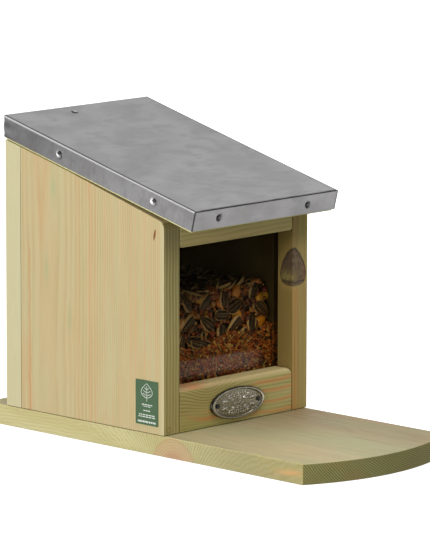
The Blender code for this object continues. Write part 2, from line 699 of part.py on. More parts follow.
def build_house(materials):
    """Everything that stays with the base board."""
    base_board(materials["pine_base"])
    side_panel("left_side_panel", -1, materials["pine_side"])
    side_panel("right_side_panel", 1, materials["pine_side"])
    back_board(materials["pine_back"])
    front_board(materials["pine_front"])
    top_rail(materials["pine_front"])
    window_pane(materials["clear_pane"])
    seed_fill(materials["mixed_seed"])
    oval_plate(materials["aged_pewter"])
    paper_label(materials["green_paper"])
    steel = materials["zinc_steel"]
    for place, side_name in ((-1, "left"), (1, "right")):
        hinge_leaf(side_name + "_hinge_house_leaf", place, "house", steel)
        hinge_pin(side_name + "_hinge_pin", place, steel)
    add_fasteners("house_hinge_screw", hinge_screw_seats("house"), FORWARD, HINGE_SCREW, steel)
    add_fasteners("plate_nail", plate_nail_seats(), BACKWARD, PLATE_NAIL, steel)
    add_fasteners("back_nail", back_nail_seats(-1) + back_nail_seats(1), FORWARD, BACK_NAIL, steel)
    add_fasteners("base_screw", base_screw_seats(), UP, BASE_SCREW, steel)


def build_roof(materials):
    """Everything that swings on the hinges, hung from an empty on their axis."""
    steel = materials["zinc_steel"]
    axis = bpy.data.objects.new("roof_hinge_axis", None)
    axis.location = (0.0, HINGE_AXIS_Y, HINGE_AXIS_Z)
    bpy.context.scene.collection.objects.link(axis)
    before = set(bpy.data.objects)
    roof_board(materials["pine_lid"])
    roof_sheet(materials["zinc_sheet"])
    add_sheet_nails(steel)
    for place, side_name in ((-1, "left"), (1, "right")):
        hinge_leaf(side_name + "_hinge_roof_leaf", place, "roof", steel)
    add_fasteners("roof_hinge_screw", hinge_screw_seats("roof"), FORWARD, HINGE_SCREW, steel)
    bpy.context.view_layer.update()
    for item in set(bpy.data.objects) - before:
        item.parent = axis
        item.matrix_parent_inverse = axis.matrix_world.inverted()


clear_scene()
FINISH_MATERIALS = make_materials()
build_house(FINISH_MATERIALS)
build_roof(FINISH_MATERIALS)
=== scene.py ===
"""Looks for a small pine feeding house with a hinged, metal-covered lid.

Places are in metres in the part's own frame, and materials count in millimetres.  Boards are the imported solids
with softened arrises; the folded cover, the seeds, the plate, the label and the fasteners are built here.
"""

import json
import math
import random

import bmesh
import bpy
from mathutils import Matrix, Vector


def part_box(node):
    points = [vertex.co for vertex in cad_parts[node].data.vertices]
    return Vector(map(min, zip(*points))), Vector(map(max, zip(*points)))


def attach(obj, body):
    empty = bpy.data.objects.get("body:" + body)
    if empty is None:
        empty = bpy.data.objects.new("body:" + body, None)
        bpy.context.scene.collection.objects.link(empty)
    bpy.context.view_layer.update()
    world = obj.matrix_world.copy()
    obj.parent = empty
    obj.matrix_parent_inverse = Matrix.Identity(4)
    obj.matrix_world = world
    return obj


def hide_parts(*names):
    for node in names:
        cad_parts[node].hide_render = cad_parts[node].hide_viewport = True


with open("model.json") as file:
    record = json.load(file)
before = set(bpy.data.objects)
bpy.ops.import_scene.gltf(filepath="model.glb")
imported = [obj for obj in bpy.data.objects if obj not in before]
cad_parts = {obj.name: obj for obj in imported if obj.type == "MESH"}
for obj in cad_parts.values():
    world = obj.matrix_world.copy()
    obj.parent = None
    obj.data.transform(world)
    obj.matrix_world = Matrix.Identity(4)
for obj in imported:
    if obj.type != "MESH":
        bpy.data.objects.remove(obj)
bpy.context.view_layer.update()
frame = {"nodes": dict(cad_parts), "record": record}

MM = 0.001
UP = Vector((0, 0, 1))
RIGHT = Vector((1, 0, 0))
BACKWARD = Vector((0, 1, 0))

LEFT_LOW, LEFT_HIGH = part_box("left_side_panel")
RIGHT_LOW, RIGHT_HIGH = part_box("right_side_panel")
SEED_LOW, SEED_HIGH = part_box("seed_fill")
PLATE_LOW, PLATE_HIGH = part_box("oval_plate")
LABEL_LOW, LABEL_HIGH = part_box("paper_label")
SHEET_LOW, SHEET_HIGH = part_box("roof_sheet")
FASTENERS = [name for name in frame["nodes"] if "nail" in name or "screw" in name]

# Levels that the materials use, in millimetres
HOUSE_FRONT = LEFT_LOW.y / MM
HOUSE_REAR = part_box("back_board")[1].y / MM
FLOOR_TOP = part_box("base_board")[1].z / MM
INNER = RIGHT_LOW.x / MM
OUTER = RIGHT_HIGH.x / MM


# ---------------------------------------------------------------- numbers that vary over a surface


def feed(tree, target, value):
    """Link a Field or a socket into a node's input, or set the input to a plain value."""
    if isinstance(value, Field):
        value = value.socket
    if isinstance(value, bpy.types.NodeSocket):
        tree.links.new(value, target)
    else:
        target.default_value = value


def add_node(tree, kind, *values, **named):
    """A new shader node, with its first inputs fed in order and others by name."""
    node = tree.nodes.new("ShaderNode" + kind)
    for target, value in zip(node.inputs, values):
        feed(tree, target, value)
    for name, value in named.items():
        feed(tree, node.inputs[name], value)
    return node


class Field:
    """A number that varies over a surface; arithmetic on it adds math nodes."""

    def __init__(self, tree, socket):
        self.tree = tree
        self.socket = socket

    def op(self, operation, *others):
        node = add_node(self.tree, "Math", self, *others)
        node.operation = operation
        return Field(self.tree, node.outputs[0])

    def __add__(self, other):
        return self.op("ADD", other)

    def __sub__(self, other):
        return self.op("SUBTRACT", other)

    def __mul__(self, other):
        return self.op("MULTIPLY", other)

    def __truediv__(self, other):
        return self.op("DIVIDE", other)

    def __pow__(self, other):
        return self.op("POWER", other)

    __radd__ = __add__
    __rmul__ = __mul__

    def __rsub__(self, other):
        return self * -1.0 + other

    def ramp(self, low, high):
        """0 below low and 1 above high, smooth between; low may be the greater."""
        node = add_node(self.tree, "MapRange", self, low, high)
        node.interpolation_type = "SMOOTHSTEP"
        return Field(self.tree, node.outputs["Result"])

    def near(self, centre, width):
        """1 at centre, falling off like a bell of that width."""
        away = (self - centre) / width
        return (away * away * -1.0).op("EXPONENT")


class Surface:
    """A material under construction: coordinates in millimetres, a colour and the shader."""

    def __init__(self, name):
        self.material = bpy.data.materials.new(name)
        self.material.use_nodes = True
        self.tree = self.material.node_tree
        self.shader = self.tree.nodes["Principled BSDF"]
        place = add_node(self.tree, "TexCoord")
        self.x, self.y, self.z = [part * (1 / MM) for part in self.split(place.outputs["Object"])]
        self.normal = dict(zip("xyz", self.split(place.outputs["Normal"])))
        self.colour = None

    def split(self, socket):
        return [Field(self.tree, output) for output in add_node(self.tree, "SeparateXYZ", socket).outputs]

    def attribute(self, name, output="Fac"):
        """What is stored on the mesh's points under a name."""
        node = add_node(self.tree, "Attribute")
        node.attribute_name = name
        return Field(self.tree, node.outputs[output])

    def facing(self, way, low=0.5, high=0.8):
        """1 on faces that look along +x, -x and so on; an axis alone means both ways."""
        part = self.normal[way[-1]]
        if way[0] == "-":
            part = part * -1.0
        elif way[0] != "+":
            part = part.op("ABSOLUTE")
        return part.ramp(low, high)

    def noise(self, x, y, z, detail=2.0, distortion=0.0):
        """Soft noise between 0 and 1 over a place given by three numbers."""
        place = add_node(self.tree, "CombineXYZ", x, y, z)
        node = add_node(self.tree, "TexNoise", place.outputs[0], Scale=1.0, Detail=detail, Distortion=distortion)
        return Field(self.tree, node.outputs["Fac"])

    def mottle(self, wide, deep, tall, detail=2.0, distortion=0.0):
        """Soft noise whose patches have a size along each axis."""
        return self.noise(self.x / wide, self.y / deep, self.z / tall, detail, distortion)

    def cells(self, size):
        """Distance to the nearest of scattered points, and a random number that goes with that point."""
        place = add_node(self.tree, "CombineXYZ", self.x / size, self.y / size, self.z / size)
        node = add_node(self.tree, "TexVoronoi", place.outputs[0], Scale=1.0)
        return Field(self.tree, node.outputs["Distance"]), self.split(node.outputs["Color"])[0]

    def paint(self, factor, colour, mode="MIX"):
        """Mix a colour (sRGB, 0 to 255) over what is there."""
        node = self.tree.nodes.new("ShaderNodeMix")
        node.data_type = "RGBA"
        node.blend_type = mode
        for place, value in ((0, factor), (6, self.colour), (7, linear(colour))):
            feed(self.tree, node.inputs[place], value)
        self.colour = node.outputs[2]

    def within(self, mask):
        """A way to paint that stays within a mask."""
        return lambda factor, colour, mode="MIX": self.paint(mask * factor, colour, mode)

    def shade(self, factor):
        """Multiply the colour by a Field."""
        node = add_node(self.tree, "VectorMath", self.colour)
        node.operation = "SCALE"
        feed(self.tree, node.inputs["Scale"], factor)
        self.colour = node.outputs[0]

    def finish(self, roughness, height=None, distance=0.1, strength=0.5, metallic=0.0, specular=None):
        """Connect the colour, roughness and bump; height is in units of distance, in mm."""
        inputs = {"Base Color": self.colour, "Roughness": roughness, "Metallic": metallic}
        if specular is not None:
            inputs["Specular IOR Level"] = specular
        if height is not None:
            bump = add_node(self.tree, "Bump", Strength=strength, Distance=distance * MM, Height=height)
            inputs["Normal"] = bump.outputs[0]
        for name, value in inputs.items():
            feed(self.tree, self.shader.inputs[name], value)
        return self.material


def linear(colour):
    """sRGB 0 to 255 as the linear RGBA that nodes take."""
    steps = [c / 255 for c in colour]
    return (*[s / 12.92 if s <= 0.04045 else ((s + 0.055) / 1.055) ** 2.4 for s in steps], 1.0)


# ---------------------------------------------------------------- wood


class Wood(Surface):
    """Sawn pine: growth rings round a pith line, seen as grain on the faces and as rings on the ends."""

    def __init__(self, name, grain, pith, spacing, early, late, seed, wobble=3.0, lean=0.0, pushes=(), line=0.6):
        super().__init__(name)
        x, y, z = self.x, self.y, self.z
        self.u, self.v, self.w = {"x": (y, z, x), "y": (x, z, y), "z": (x, y, z)}[grain]
        self.end = self.facing(grain, 0.6, 0.85)
        shift = float(seed) * 3.7
        slow = self.noise(self.u / 22 + shift, self.v / 22, self.w / 85) - 0.5
        quick = self.noise(self.u / 5, self.v / 5 + shift, self.w / 38) - 0.5
        off_u = self.u - pith[0] + self.w * lean
        off_v = self.v - pith[1]
        radius = (off_u * off_u + off_v * off_v).op("SQRT")
        radius = radius + slow * (2 * wobble) + quick * (0.35 * wobble)
        for centre, reach, amount in pushes:
            radius = radius + (self.square(centre) / (-reach * reach)).op("EXPONENT") * amount
        ring = (radius / spacing).op("FRACT")
        self.ring = ring.ramp(0.25, 0.86) * ring.ramp(1.0, 0.88)
        self.fibre = self.noise(self.u / 0.32, self.v / 0.32, self.w / 14, 3.0)
        uneven = self.noise(self.u / 9, self.v / 9, self.w / 50 + shift, 1.0).ramp(0.25, 0.75)
        self.late_share = self.ring * (uneven * 0.75 + 0.25)
        self.colour = linear(early)
        self.paint(self.late_share * line, late)

    def square(self, centre, size=(1.0, 1.0, 1.0)):
        """Square of the distance from a point, in units of a size along each axis."""
        total = 0.0
        for place, middle, radius in zip((self.x, self.y, self.z), centre, size):
            step = (place - middle) / radius
            total = step * step + total
        return total

    def tint(self, colour, low, high, amount, shift=0.0):
        """A soft patchy tint along the grain."""
        cloud = self.noise(self.u / 20 + shift, self.v / 20, self.w / 75)
        self.paint(cloud.ramp(low, high) * amount, colour)

    def knot(self, centre, size, core, rim, rim_width, amount, halo=None):
        """A knot: an uneven body with a dark rim, round a point and with a radius along each axis."""
        reach = self.square(centre, size).op("SQRT") + (self.mottle(3.1, 3.1, 3.1) - 0.5) * 0.25
        if halo:
            self.paint(reach.ramp(1.9, 0.9) * 0.6 * amount, halo)
        rings = (reach * 5.0).op("FRACT")
        self.paint(reach.ramp(1.04, 0.96) * amount, core)
        self.paint(reach.ramp(1.0, 0.9) * rings.ramp(0.2, 0.9) * 0.4 * amount, rim)
        self.paint(reach.near(1.0, rim_width) * amount, rim)

    def paint_inside_shade(self, mask):
        """Painted shade: faces inside the house are darkened, most below the window's top and less above it."""
        self.paint(mask * (self.z.ramp(156.0, 114.0) * 0.55 + 0.4), (40, 29, 8))

    def done(self, end_shade, end_colour=None, end_lines=None):
        """Finish with fibres, darker end grain and a fine bump."""
        if end_lines:
            self.paint(self.end * self.ring * 0.75, end_lines)
        if end_colour:
            self.paint(self.end * 0.6, end_colour, "MULTIPLY")
        self.shade(1.0 - self.end * (1.0 - end_shade))
        self.shade((self.fibre - 0.5) * 0.24 + 1.0)
        height = self.fibre * 0.6 + self.late_share * 0.5
        return self.finish(self.fibre * 0.2 + 0.52, height, 0.12, 0.35, specular=0.35)


CREAM = (213, 196, 149)
SALMON = (222, 160, 112)
STRAW = (196, 174, 122)
WALL_SHADE = 0.75


def left_panel_wood():
    """Vertical grain: fine lines in front, soft salmon bands, a resin line and a short pitch streak."""
    wood = Wood("pine_left_side", "z", (-104.0, 76.0), 1.25, CREAM, STRAW, 1, wobble=0.9, line=0.95)
    x, y, z = wood.x, wood.y, wood.z
    outside = wood.within(wood.facing("-x", 0.3, 0.7))
    front = wood.within(wood.facing("-y"))
    sway = (wood.noise(2.0, 0.5, z / 24, 1.0) - 0.5) * 3.0
    outside(y.ramp(50.0, 66.0) * 0.4, CREAM)
    wood.tint((205, 205, 160), 0.5, 0.75, 0.45)
    wood.tint((214, 178, 128), 0.5, 0.8, 0.45, 5.0)
    stripes = wood.noise((y + sway * 0.4) / 1.5, 3.0, z / 190)
    forward = y.ramp(62.0, 46.0)
    outside(stripes.ramp(0.5, 0.68) * (forward * 0.3 + 0.15), (220, 176, 130))
    outside(stripes.ramp(0.5, 0.34) * (forward * 0.25 + 0.15), (196, 188, 132))
    for middle, width, bend, amount in ((44.0, 0.85, 1.0, 0.4), (40.6, 0.55, 0.7, 0.3), (53.5, 1.8, 1.2, 0.16)):
        outside((y + sway * bend).near(middle, width) * amount, SALMON)
    resin = y - z.ramp(88, 135) * 3.2 + (wood.noise(0.3, 4.0, z / 9) - 0.5) * 2.2
    fading = (1.0 - z.ramp(96, 110) * 0.85) * (z.ramp(60, 25) * 0.25 + 0.6)
    outside(resin.near(91.3, 0.6) * fading, (216, 146, 96))
    arms = (y - 82.0).op("ABSOLUTE") - (z - 118.0).op("MAXIMUM", 0.0) * 0.105
    outside(arms.near(0.4, 2.0) * z.ramp(92, 116) * 0.3, (218, 170, 122))
    outside((y + sway * 2.0).near(77.0, 5.0) * 0.12, (220, 176, 128))
    for spot_y, spot_z, reach in ((72.5, 137.0, 6.0), (78.0, 92.0, 8.0), (60.0, 66.0, 7.0)):
        outside(y.near(spot_y, 1.5) * z.near(spot_z, reach) * 0.4, (160, 186, 138))
    streak = (y + (z - 119.6) * 0.2).near(-4.9, 0.75) * z.near(119.6, 3.0)
    outside(streak.ramp(0.2, 0.55) * 0.95, (138, 72, 40))
    outside(y.ramp(HOUSE_FRONT + 3.5, HOUSE_FRONT) * 0.5, (222, 218, 178))
    front(0.42, (182, 180, 100))
    front(1.0, (238, 238, 224), "MULTIPLY")
    bands = ((x + (wood.noise(0.0, 0.0, z / 40, 1.0) - 0.5) * 2.0) / 2.3).op("FRACT")
    streaky = wood.noise(x / 1.1, 0.0, z / 60).ramp(0.3, 0.7)
    front(bands.ramp(0.2, 0.55) * bands.ramp(1.0, 0.7) * (streaky * 0.5 + 0.5) * 0.72, (126, 104, 54))
    # Painted shade: the front edge darkens towards the top, under the cover's overhang.
    front(z.ramp(98.0, 121.0) * 0.55, (78, 70, 32))
    wood.knot((-52.2, HOUSE_FRONT, 14.2), (1.7, 2.0, 1.6), (176, 160, 98), (112, 94, 44), 0.2, 0.5)
    groove = x.ramp(-OUTER + 5.0, -OUTER + 6.0) * y.ramp(-0.6, 0.0) * y.ramp(4.0, 3.4)
    # Painted shade on the faces inside the house and in the pane's groove.
    wood.paint_inside_shade((wood.facing("+x") * y.ramp(-0.6, 0.4)).op("MAXIMUM", groove))
    return wood.done(WALL_SHADE)


def right_panel_wood():
    """Vertical grain with a dark knot that wraps round the front arris."""
    pushes = (((INNER + 2, HOUSE_FRONT, 91.0), 14.0, 3.0),)
    wood = Wood("pine_right_side", "z", (96.0, 62.0), 1.5, (208, 192, 142), STRAW, 2, 1.8, pushes=pushes)
    x, y, z = wood.x, wood.y, wood.z
    front = wood.within(wood.facing("-y"))
    to_inside = wood.facing("-x")
    inside = wood.within(to_inside)
    by_arris = x.near(INNER + 2.0, 2.4)
    wood.tint((190, 196, 140), 0.45, 0.7, 0.5)
    wood.tint((214, 172, 120), 0.5, 0.8, 0.5, 5.0)
    front(0.4, (190, 180, 112))
    front(z.ramp(84, 76) * by_arris * 0.6, (222, 158, 96))
    # Painted shade: the front face darkens towards the top, under the cover's overhang.
    front(z.ramp(98, 112) * 0.8, (148, 140, 78))
    front(z.ramp(98, 106) * by_arris * 0.5, (164, 118, 80))
    front(z.ramp(84, 76) * 0.35, (176, 150, 88))
    inside(y.ramp(2.0, -2.0) * 0.9, (120, 96, 34))
    # Painted shade: the inner face darkens towards the top, under the rail and the lid.
    inside(z.ramp(80.0, 110.0) * 0.6, (92, 80, 32))
    lines = wood.noise(x / 0.8, 0.0, z / 70)
    front(lines.ramp(0.5, 0.7) * 0.55, (150, 128, 76))
    front(lines.ramp(0.48, 0.3) * 0.35, (216, 202, 140))
    front(1.0, (240, 230, 204), "MULTIPLY")
    # Painted shade: the front face darkens towards the top, under the cover's overhang.
    front(z.ramp(96, 110), (228, 232, 210), "MULTIPLY")
    # The knot: pointed above its widest level and blunt below, measured along the surface round the arris
    behind = (y - HOUSE_FRONT).op("MAXIMUM", 0.0)
    outer_face = x.ramp(OUTER - 0.6, OUTER - 0.1)
    round_arris = (x - INNER).op("MAXIMUM", 0.0) - behind + outer_face * behind * 2.0
    widest = 87.0
    across = (round_arris - 0.7).op("ABSOLUTE") / 9.6
    above = (z - widest).op("MAXIMUM", 0.0) / 14.4
    below = (widest - z).op("MAXIMUM", 0.0) / 6.6
    pointed = (across ** 1.55 + above ** 1.55) ** 0.645
    blunt = (across ** 3.2 + below ** 3.2) ** 0.3125
    is_above = z.ramp(widest - 0.1, widest + 0.1)
    wave = wood.mottle(2.2, 2.2, 2.2, 3.0) - 0.5
    grey = wood.mottle(1.2, 1.2, 2.4, 3.0)
    reach = pointed * is_above + blunt * (1.0 - is_above) + wave * 0.12
    knot = wood.within(reach.ramp(1.03, 0.97))
    wood.paint(reach.ramp(1.7, 0.95) * 0.35, (176, 150, 84))
    knot(0.95, (124, 102, 74))
    knot(grey.ramp(0.4, 0.65) * 0.8, (74, 58, 42))
    knot(to_inside * 0.6, (58, 42, 32))
    knot(x.near(INNER + 0.5, 3.0) * z.near(85.5, 3.2) * grey.ramp(0.3, 0.6) * 0.8, (150, 136, 72))
    knot(x.ramp(INNER + 7.5, INNER + 10.0) * 0.5, (150, 92, 62))
    wood.paint((z + wave * 5.0).near(82.6, 0.7) * reach.ramp(1.15, 0.9) * 0.85, (44, 32, 18))
    wood.paint(reach.near(1.0, 0.05) * z.ramp(80, 88) * 0.95, (46, 34, 20))
    groove = x.ramp(OUTER - 5.0, OUTER - 6.0) * y.ramp(-0.6, 0.0) * y.ramp(4.0, 3.4)
    # Painted shade on the faces inside the house and in the pane's groove.
    wood.paint_inside_shade((to_inside * y.ramp(-0.6, 0.4)).op("MAXIMUM", groove))
    crumbs = wood.cells(1.7)[0].ramp(0.68, 0.3)
    wood.paint(groove * z.ramp(62.0, 52.0) * crumbs * 0.9, (172, 96, 34))
    return wood.done(WALL_SHADE)


def back_board_wood():
    """Vertical grain, greenish, with two knots."""
    high, low = (-18.0, HOUSE_REAR, 104.0), (29.0, HOUSE_REAR, 47.0)
    pushes = ((high, 15.0, 5.0), (low, 12.0, 4.0))
    wood = Wood("pine_back", "z", (8.0, 168.0), 2.1, (210, 205, 162), (186, 170, 116), 3, 3.4, 0.03, pushes)
    wood.tint((200, 208, 162), 0.4, 0.7, 0.5)
    wood.tint((216, 176, 128), 0.5, 0.8, 0.45, 5.0)
    wood.paint(wood.facing("x") * 0.8, (222, 214, 172))
    wood.knot(high, (5.4, 9.0, 6.6), (168, 116, 70), (92, 58, 32), 0.1, 0.85, (206, 160, 104))
    # Painted shade on the face inside the house.
    wood.paint_inside_shade(wood.facing("-y"))
    wood.knot(low, (3.4, 7.0, 4.2), (174, 124, 76), (104, 68, 38), 0.12, 0.8, (206, 160, 104))
    return wood.done(WALL_SHADE)


def front_board_wood():
    """Level grain that dips round a swirl at the left, with orange bands."""
    pushes = (((-21.0, HOUSE_FRONT, FLOOR_TOP + 26.0), 15.0, -9.0),)
    early, late = (196, 186, 122), (150, 128, 66)
    wood = Wood("pine_front_board", "x", (6.0, 74.0), 2.0, early, late, 4, 1.6, pushes=pushes, line=0.8)
    x, z = wood.x, wood.z
    front = wood.within(wood.facing("-y", 0.3, 0.7))
    top = wood.within(wood.facing("+z", 0.4, 0.8))
    wood.tint((178, 188, 118), 0.45, 0.7, 0.5)
    sway = (wood.noise(x / 22, 3.0, 0.0) - 0.5) * 3.0
    for level, width, slope, start, end in (
        (30.6, 1.1, 0.03, 6.0, 20.0),
        (25.4, 1.0, 0.02, 8.0, 22.0),
        (19.3, 0.8, 0.02, 10.0, 20.0),
        (13.6, 0.9, 0.00, 0.0, 20.0),
    ):
        line = (z + sway - (x - 30) * slope).near(level, width)
        front(line * x.ramp(start, end) * 0.6, (226, 140, 80))
    sagging = z + sway * 0.8 + (x + 22) * (x + 22) * -0.012
    front(sagging.near(16.4, 1.2) * x.near(-22.0, 15.0) * 0.65, (226, 142, 84))
    front(x.ramp(30.0, -20.0), (230, 226, 212), "MULTIPLY")
    front(sagging.near(20.2, 0.7) * x.near(-18.0, 12.0) * 0.4, (222, 150, 92))
    top(0.55, (226, 200, 150))
    top(x.near(-32.0, 9.0) * 0.6, (214, 132, 86))
    return wood.done(WALL_SHADE)


def rail_wood():
    """Level grain, wavy."""
    wood = Wood("pine_top_rail", "x", (8.0, 60.0), 2.6, (186, 174, 112), (146, 126, 70), 5, 3.4)
    wood.tint((176, 180, 112), 0.4, 0.7, 0.5)
    wood.tint((204, 170, 112), 0.5, 0.8, 0.4, 5.0)
    return wood.done(WALL_SHADE)


def base_board_wood():
    """Level grain from end to end, a cut knot in the left edge and fine rings on the rounded end."""
    pushes = (((20.0, -58.0, FLOOR_TOP), 10.0, 3.0),)
    wood = Wood("pine_base", "y", (46.0, 84.0), 1.15, (188, 172, 130), (166, 146, 104), 6, 2.0, pushes=pushes)
    x, y, z = wood.x, wood.y, wood.z
    upward = wood.facing("+z")
    top = wood.within(upward)
    wood.tint((178, 180, 134), 0.4, 0.7, 0.5)
    wood.tint((200, 162, 124), 0.5, 0.72, 0.35, 5.0)
    wood.tint((158, 140, 104), 0.5, 0.8, 0.4, 11.0)
    streak = wood.noise(x / 1.3, z / 3.0, y / 26, 3.0)
    wood.paint(streak.ramp(0.5, 0.72) * 0.45, (200, 164, 126))
    wood.paint(streak.ramp(0.46, 0.3) * 0.4, (164, 158, 116))
    wood.shade((wood.noise(x / 0.6, z / 2.0, y / 12) - 0.5) * upward * 0.5 + 1.0)
    top(wood.noise(x / 0.7, z / 2.0, y / 40).ramp(0.56, 0.7) * 0.5, (146, 118, 84))
    # Painted shade: the top is darkened, most towards the right, where the rear lamp falls on it.
    top(x.ramp(-40.0, 40.0) * 0.7 + 0.3, (206, 204, 202), "MULTIPLY")
    top(x.ramp(50.0, 0.0) * 0.14, (190, 202, 164))
    speck = wood.noise(x / 1.6, 0.0, y / 9.0, 3.0).ramp(0.5, 0.66)
    top(speck * x.ramp(18.0, 50.0) * y.near(-30.0, 22.0) * 0.8, (140, 102, 76))
    wood.knot((52.0, -24.6, FLOOR_TOP), (0.8, 2.4, 3.0), (140, 112, 76), (104, 78, 50), 0.3, 0.8, (180, 152, 108))
    # The left edge: lines that fan out from a cut knot near the house's front
    edge = wood.within(x.ramp(-OUTER + 1.2, -OUTER + 0.2).op("MAXIMUM", wood.facing("-x", 0.4, 0.7)))
    centre = y - (HOUSE_FRONT - 6.0)
    wave = wood.noise(x / 6, y / 8, z / 8) - 0.5
    fan = ((z + 26.0).op("ARCTAN2", centre) * 23.0 + wave * 2.2).op("FRACT")
    fan = fan.ramp(0.25, 0.7) * fan.ramp(1.0, 0.72) * y.ramp(75.0, -10.0)
    faded = wood.noise(x / 9, y / 14, z / 5).ramp(0.3, 0.7)
    level = ((z + wave * 3.0 + y * 0.03) / 1.9).op("FRACT")
    patch = wood.noise(x / 16, z / 16 + 22.2, y / 60)
    edge(0.85, (206, 197, 145))
    edge(y.ramp(-40.0, 30.0) * 0.85, (225, 217, 163))
    edge(y.ramp(-30.0, -70.0), (228, 226, 226), "MULTIPLY")
    edge(fan * (faded * 0.45 + 0.25), (158, 152, 92))
    edge(y.ramp(0.0, 70.0) * level.ramp(0.3, 0.9) * 0.3, (176, 166, 112))
    edge(patch.ramp(0.45, 0.7) * 0.4, (196, 182, 112))
    step_y = (centre + 1.0) / 16.5
    step_z = (z + 6.0) / 16.8
    bow = (step_y * step_y + step_z * step_z).op("SQRT") + wave * 0.12
    rings = (bow * 11.0).op("FRACT")
    knot = wood.within(x.ramp(-OUTER + 7.0, -OUTER))
    knot(bow.ramp(1.06, 0.8) * 0.7, (212, 182, 140))
    knot(bow.ramp(1.02, 0.95) * rings.ramp(0.3, 0.85) * rings.ramp(1.0, 0.92) * 0.4, (192, 138, 102))
    knot(bow.ramp(0.7, 0.45) * 0.55, (198, 146, 118))
    knot(bow.near(0.98, 0.03) * 0.35, (196, 136, 106))
    edge((z - 5.0 + (y + 100) * 0.08).near(0.0, 1.5) * y.near(-104.0, 9.0) * 0.7, (232, 176, 116))
    wood.paint(wood.facing("-y") * x.ramp(-20.0, 50.0), (224, 224, 166), "MULTIPLY")
    return wood.done(0.90, end_lines=(100, 92, 44), end_colour=(192, 210, 130))


def lid_wood():
    """Pale yellow-green lid board."""
    wood = Wood("pine_lid", "x", (40.0, 60.0), 2.4, (214, 210, 154), (188, 172, 112), 7, 3.0)
    wood.tint((196, 200, 140), 0.4, 0.7, 0.5)
    # Painted light: the side faces, which lie in the shade of the cover's flange, are brightened.
    wood.paint(wood.facing("x") * 0.8, (250, 246, 184))
    return wood.done(1.0)


# ---------------------------------------------------------------- other materials


def zinc_material():
    """Dull galvanised sheet: soft mottling, fine brushed streaks, bends with wear and a painted highlight, creases
    with grime and painted shade.
    """
    look = Surface("galvanised_sheet")
    y = look.y
    cloud = look.mottle(22, 16, 16, 4.0)
    brush = look.mottle(6.0, 0.5, 6.0)
    grain = look.mottle(0.7, 0.7, 0.7)
    stroke = look.noise(0.0, y / 0.55, look.z / 9.0)
    flange = look.facing("x")
    wear_and_highlight = look.attribute("wear_and_highlight")
    look.colour = linear((128, 127, 127))
    look.paint(cloud.ramp(0.35, 0.68) * 0.85, (146, 145, 147))
    look.paint(look.mottle(14, 7, 7, 3.0, 0.4).ramp(0.45, 0.7) * 0.45, (114, 113, 115))
    look.shade((grain - 0.5) * 0.22 + 1.0)
    look.shade((brush - 0.5) * 0.04 + 1.0)
    look.shade(1.0 + flange * (stroke - 0.5) * 0.45)
    # Painted shade: the front flange is darker than the other faces; the side flanges darken towards the rear.
    look.shade(1.0 - look.facing("y") * 0.14 - flange * y.ramp(20.0, 100.0) * 0.3)
    # Painted light: the top brightens towards its front edge.
    look.shade(1.0 + y.ramp(60.0, -30.0) * (1.0 - flange) * 0.07)
    look.paint(look.mottle(9.0, 0.35, 2.0, 1.0).ramp(0.76, 0.82) * 0.25, (170, 170, 172))
    # Painted shade with grime along the creases, round the top nail and in the front dimples; painted highlight with
    # wear on the bends and side dimples.
    look.paint(look.attribute("grime_and_shade").ramp(0.2, 0.9) * 0.9, (46, 45, 46))
    look.paint(wear_and_highlight.ramp(0.1, 0.8) * 0.9, (226, 226, 228))
    height = brush * 0.08 + grain * 0.2 + stroke * flange * 0.3
    return look.finish(cloud * 0.14 + 0.36 - wear_and_highlight * 0.1, height, 0.04, 0.3, metallic=0.9 - wear_and_highlight * 0.6)


def steel_material(name, colour, rough):
    """Plated steel with small dull patches."""
    look = Surface(name)
    cloud = look.mottle(1.6, 1.6, 1.6, 3.0)
    fine = look.mottle(0.25, 0.25, 0.25)
    look.colour = linear(colour)
    look.paint(cloud.ramp(0.45, 0.75) * 0.5, [c * 0.68 for c in colour])
    look.paint(fine.ramp(0.62, 0.8) * 0.25, (205, 205, 205))
    return look.finish(cloud * 0.25 + rough - 0.1, fine, 0.02, 0.3, metallic=0.95)


def pewter_material():
    """Aged cast metal: dark in its hollows, pale where it is rubbed."""
    look = Surface("aged_pewter")
    raised = look.attribute("relief")
    cloud = look.mottle(2.4, 2.4, 2.4, 3.0)
    grit = look.mottle(0.45, 0.45, 0.45, 3.0)
    look.colour = linear((168, 163, 142))
    look.paint(raised.ramp(0.40, 0.0) * 0.6, (112, 106, 88))
    look.paint(cloud.ramp(0.4, 0.7) * 0.35, (112, 104, 84))
    look.paint(grit.ramp(0.55, 0.75) * 0.6, (56, 52, 42))
    look.paint(raised.ramp(0.4, 0.8) * 0.9, (250, 248, 242))
    centre = (PLATE_LOW + PLATE_HIGH) / (2 * MM)
    half = (PLATE_HIGH - PLATE_LOW) / (2 * MM)
    across = (look.x - centre.x) / half.x
    up = (look.z - centre.z) / half.z
    reach = (across * across + up * up).op("SQRT")
    # Painted shadow: a dark line round the outer edge, heaviest at the upper left.
    rim_shadow_side = (up - across * 0.4).ramp(-0.6, 0.7)
    look.paint(reach.ramp(0.945, 0.975) * (rim_shadow_side * 0.5 + 0.5) * 0.95, (22, 20, 16))
    look.paint(reach.near(0.87, 0.02) * 0.7, (50, 46, 38))
    return look.finish(grit * 0.25 + 0.16, grit, 0.12, 0.8, metallic=0.85)


def label_material():
    """Green paper with a faint fibre."""
    look = Surface("green_paper")
    fibre = look.mottle(1.0, 0.5, 0.5, 3.0)
    look.colour = linear((62, 95, 58))
    look.paint(look.mottle(1.0, 6, 6).ramp(0.35, 0.7) * 0.4, (52, 86, 54))
    look.shade((fibre - 0.5) * 0.16 + 1.0)
    return look.finish(0.45 + fibre * 0.1, fibre, 0.02, 0.2)


def print_material():
    """White ink, slightly uneven."""
    look = Surface("white_ink")
    cloud = look.mottle(1.0, 0.4, 0.4)
    look.colour = linear((226, 232, 224))
    look.paint(cloud.ramp(0.4, 0.8) * 0.3, (150, 180, 152))
    return look.finish(0.5 + cloud * 0.1)


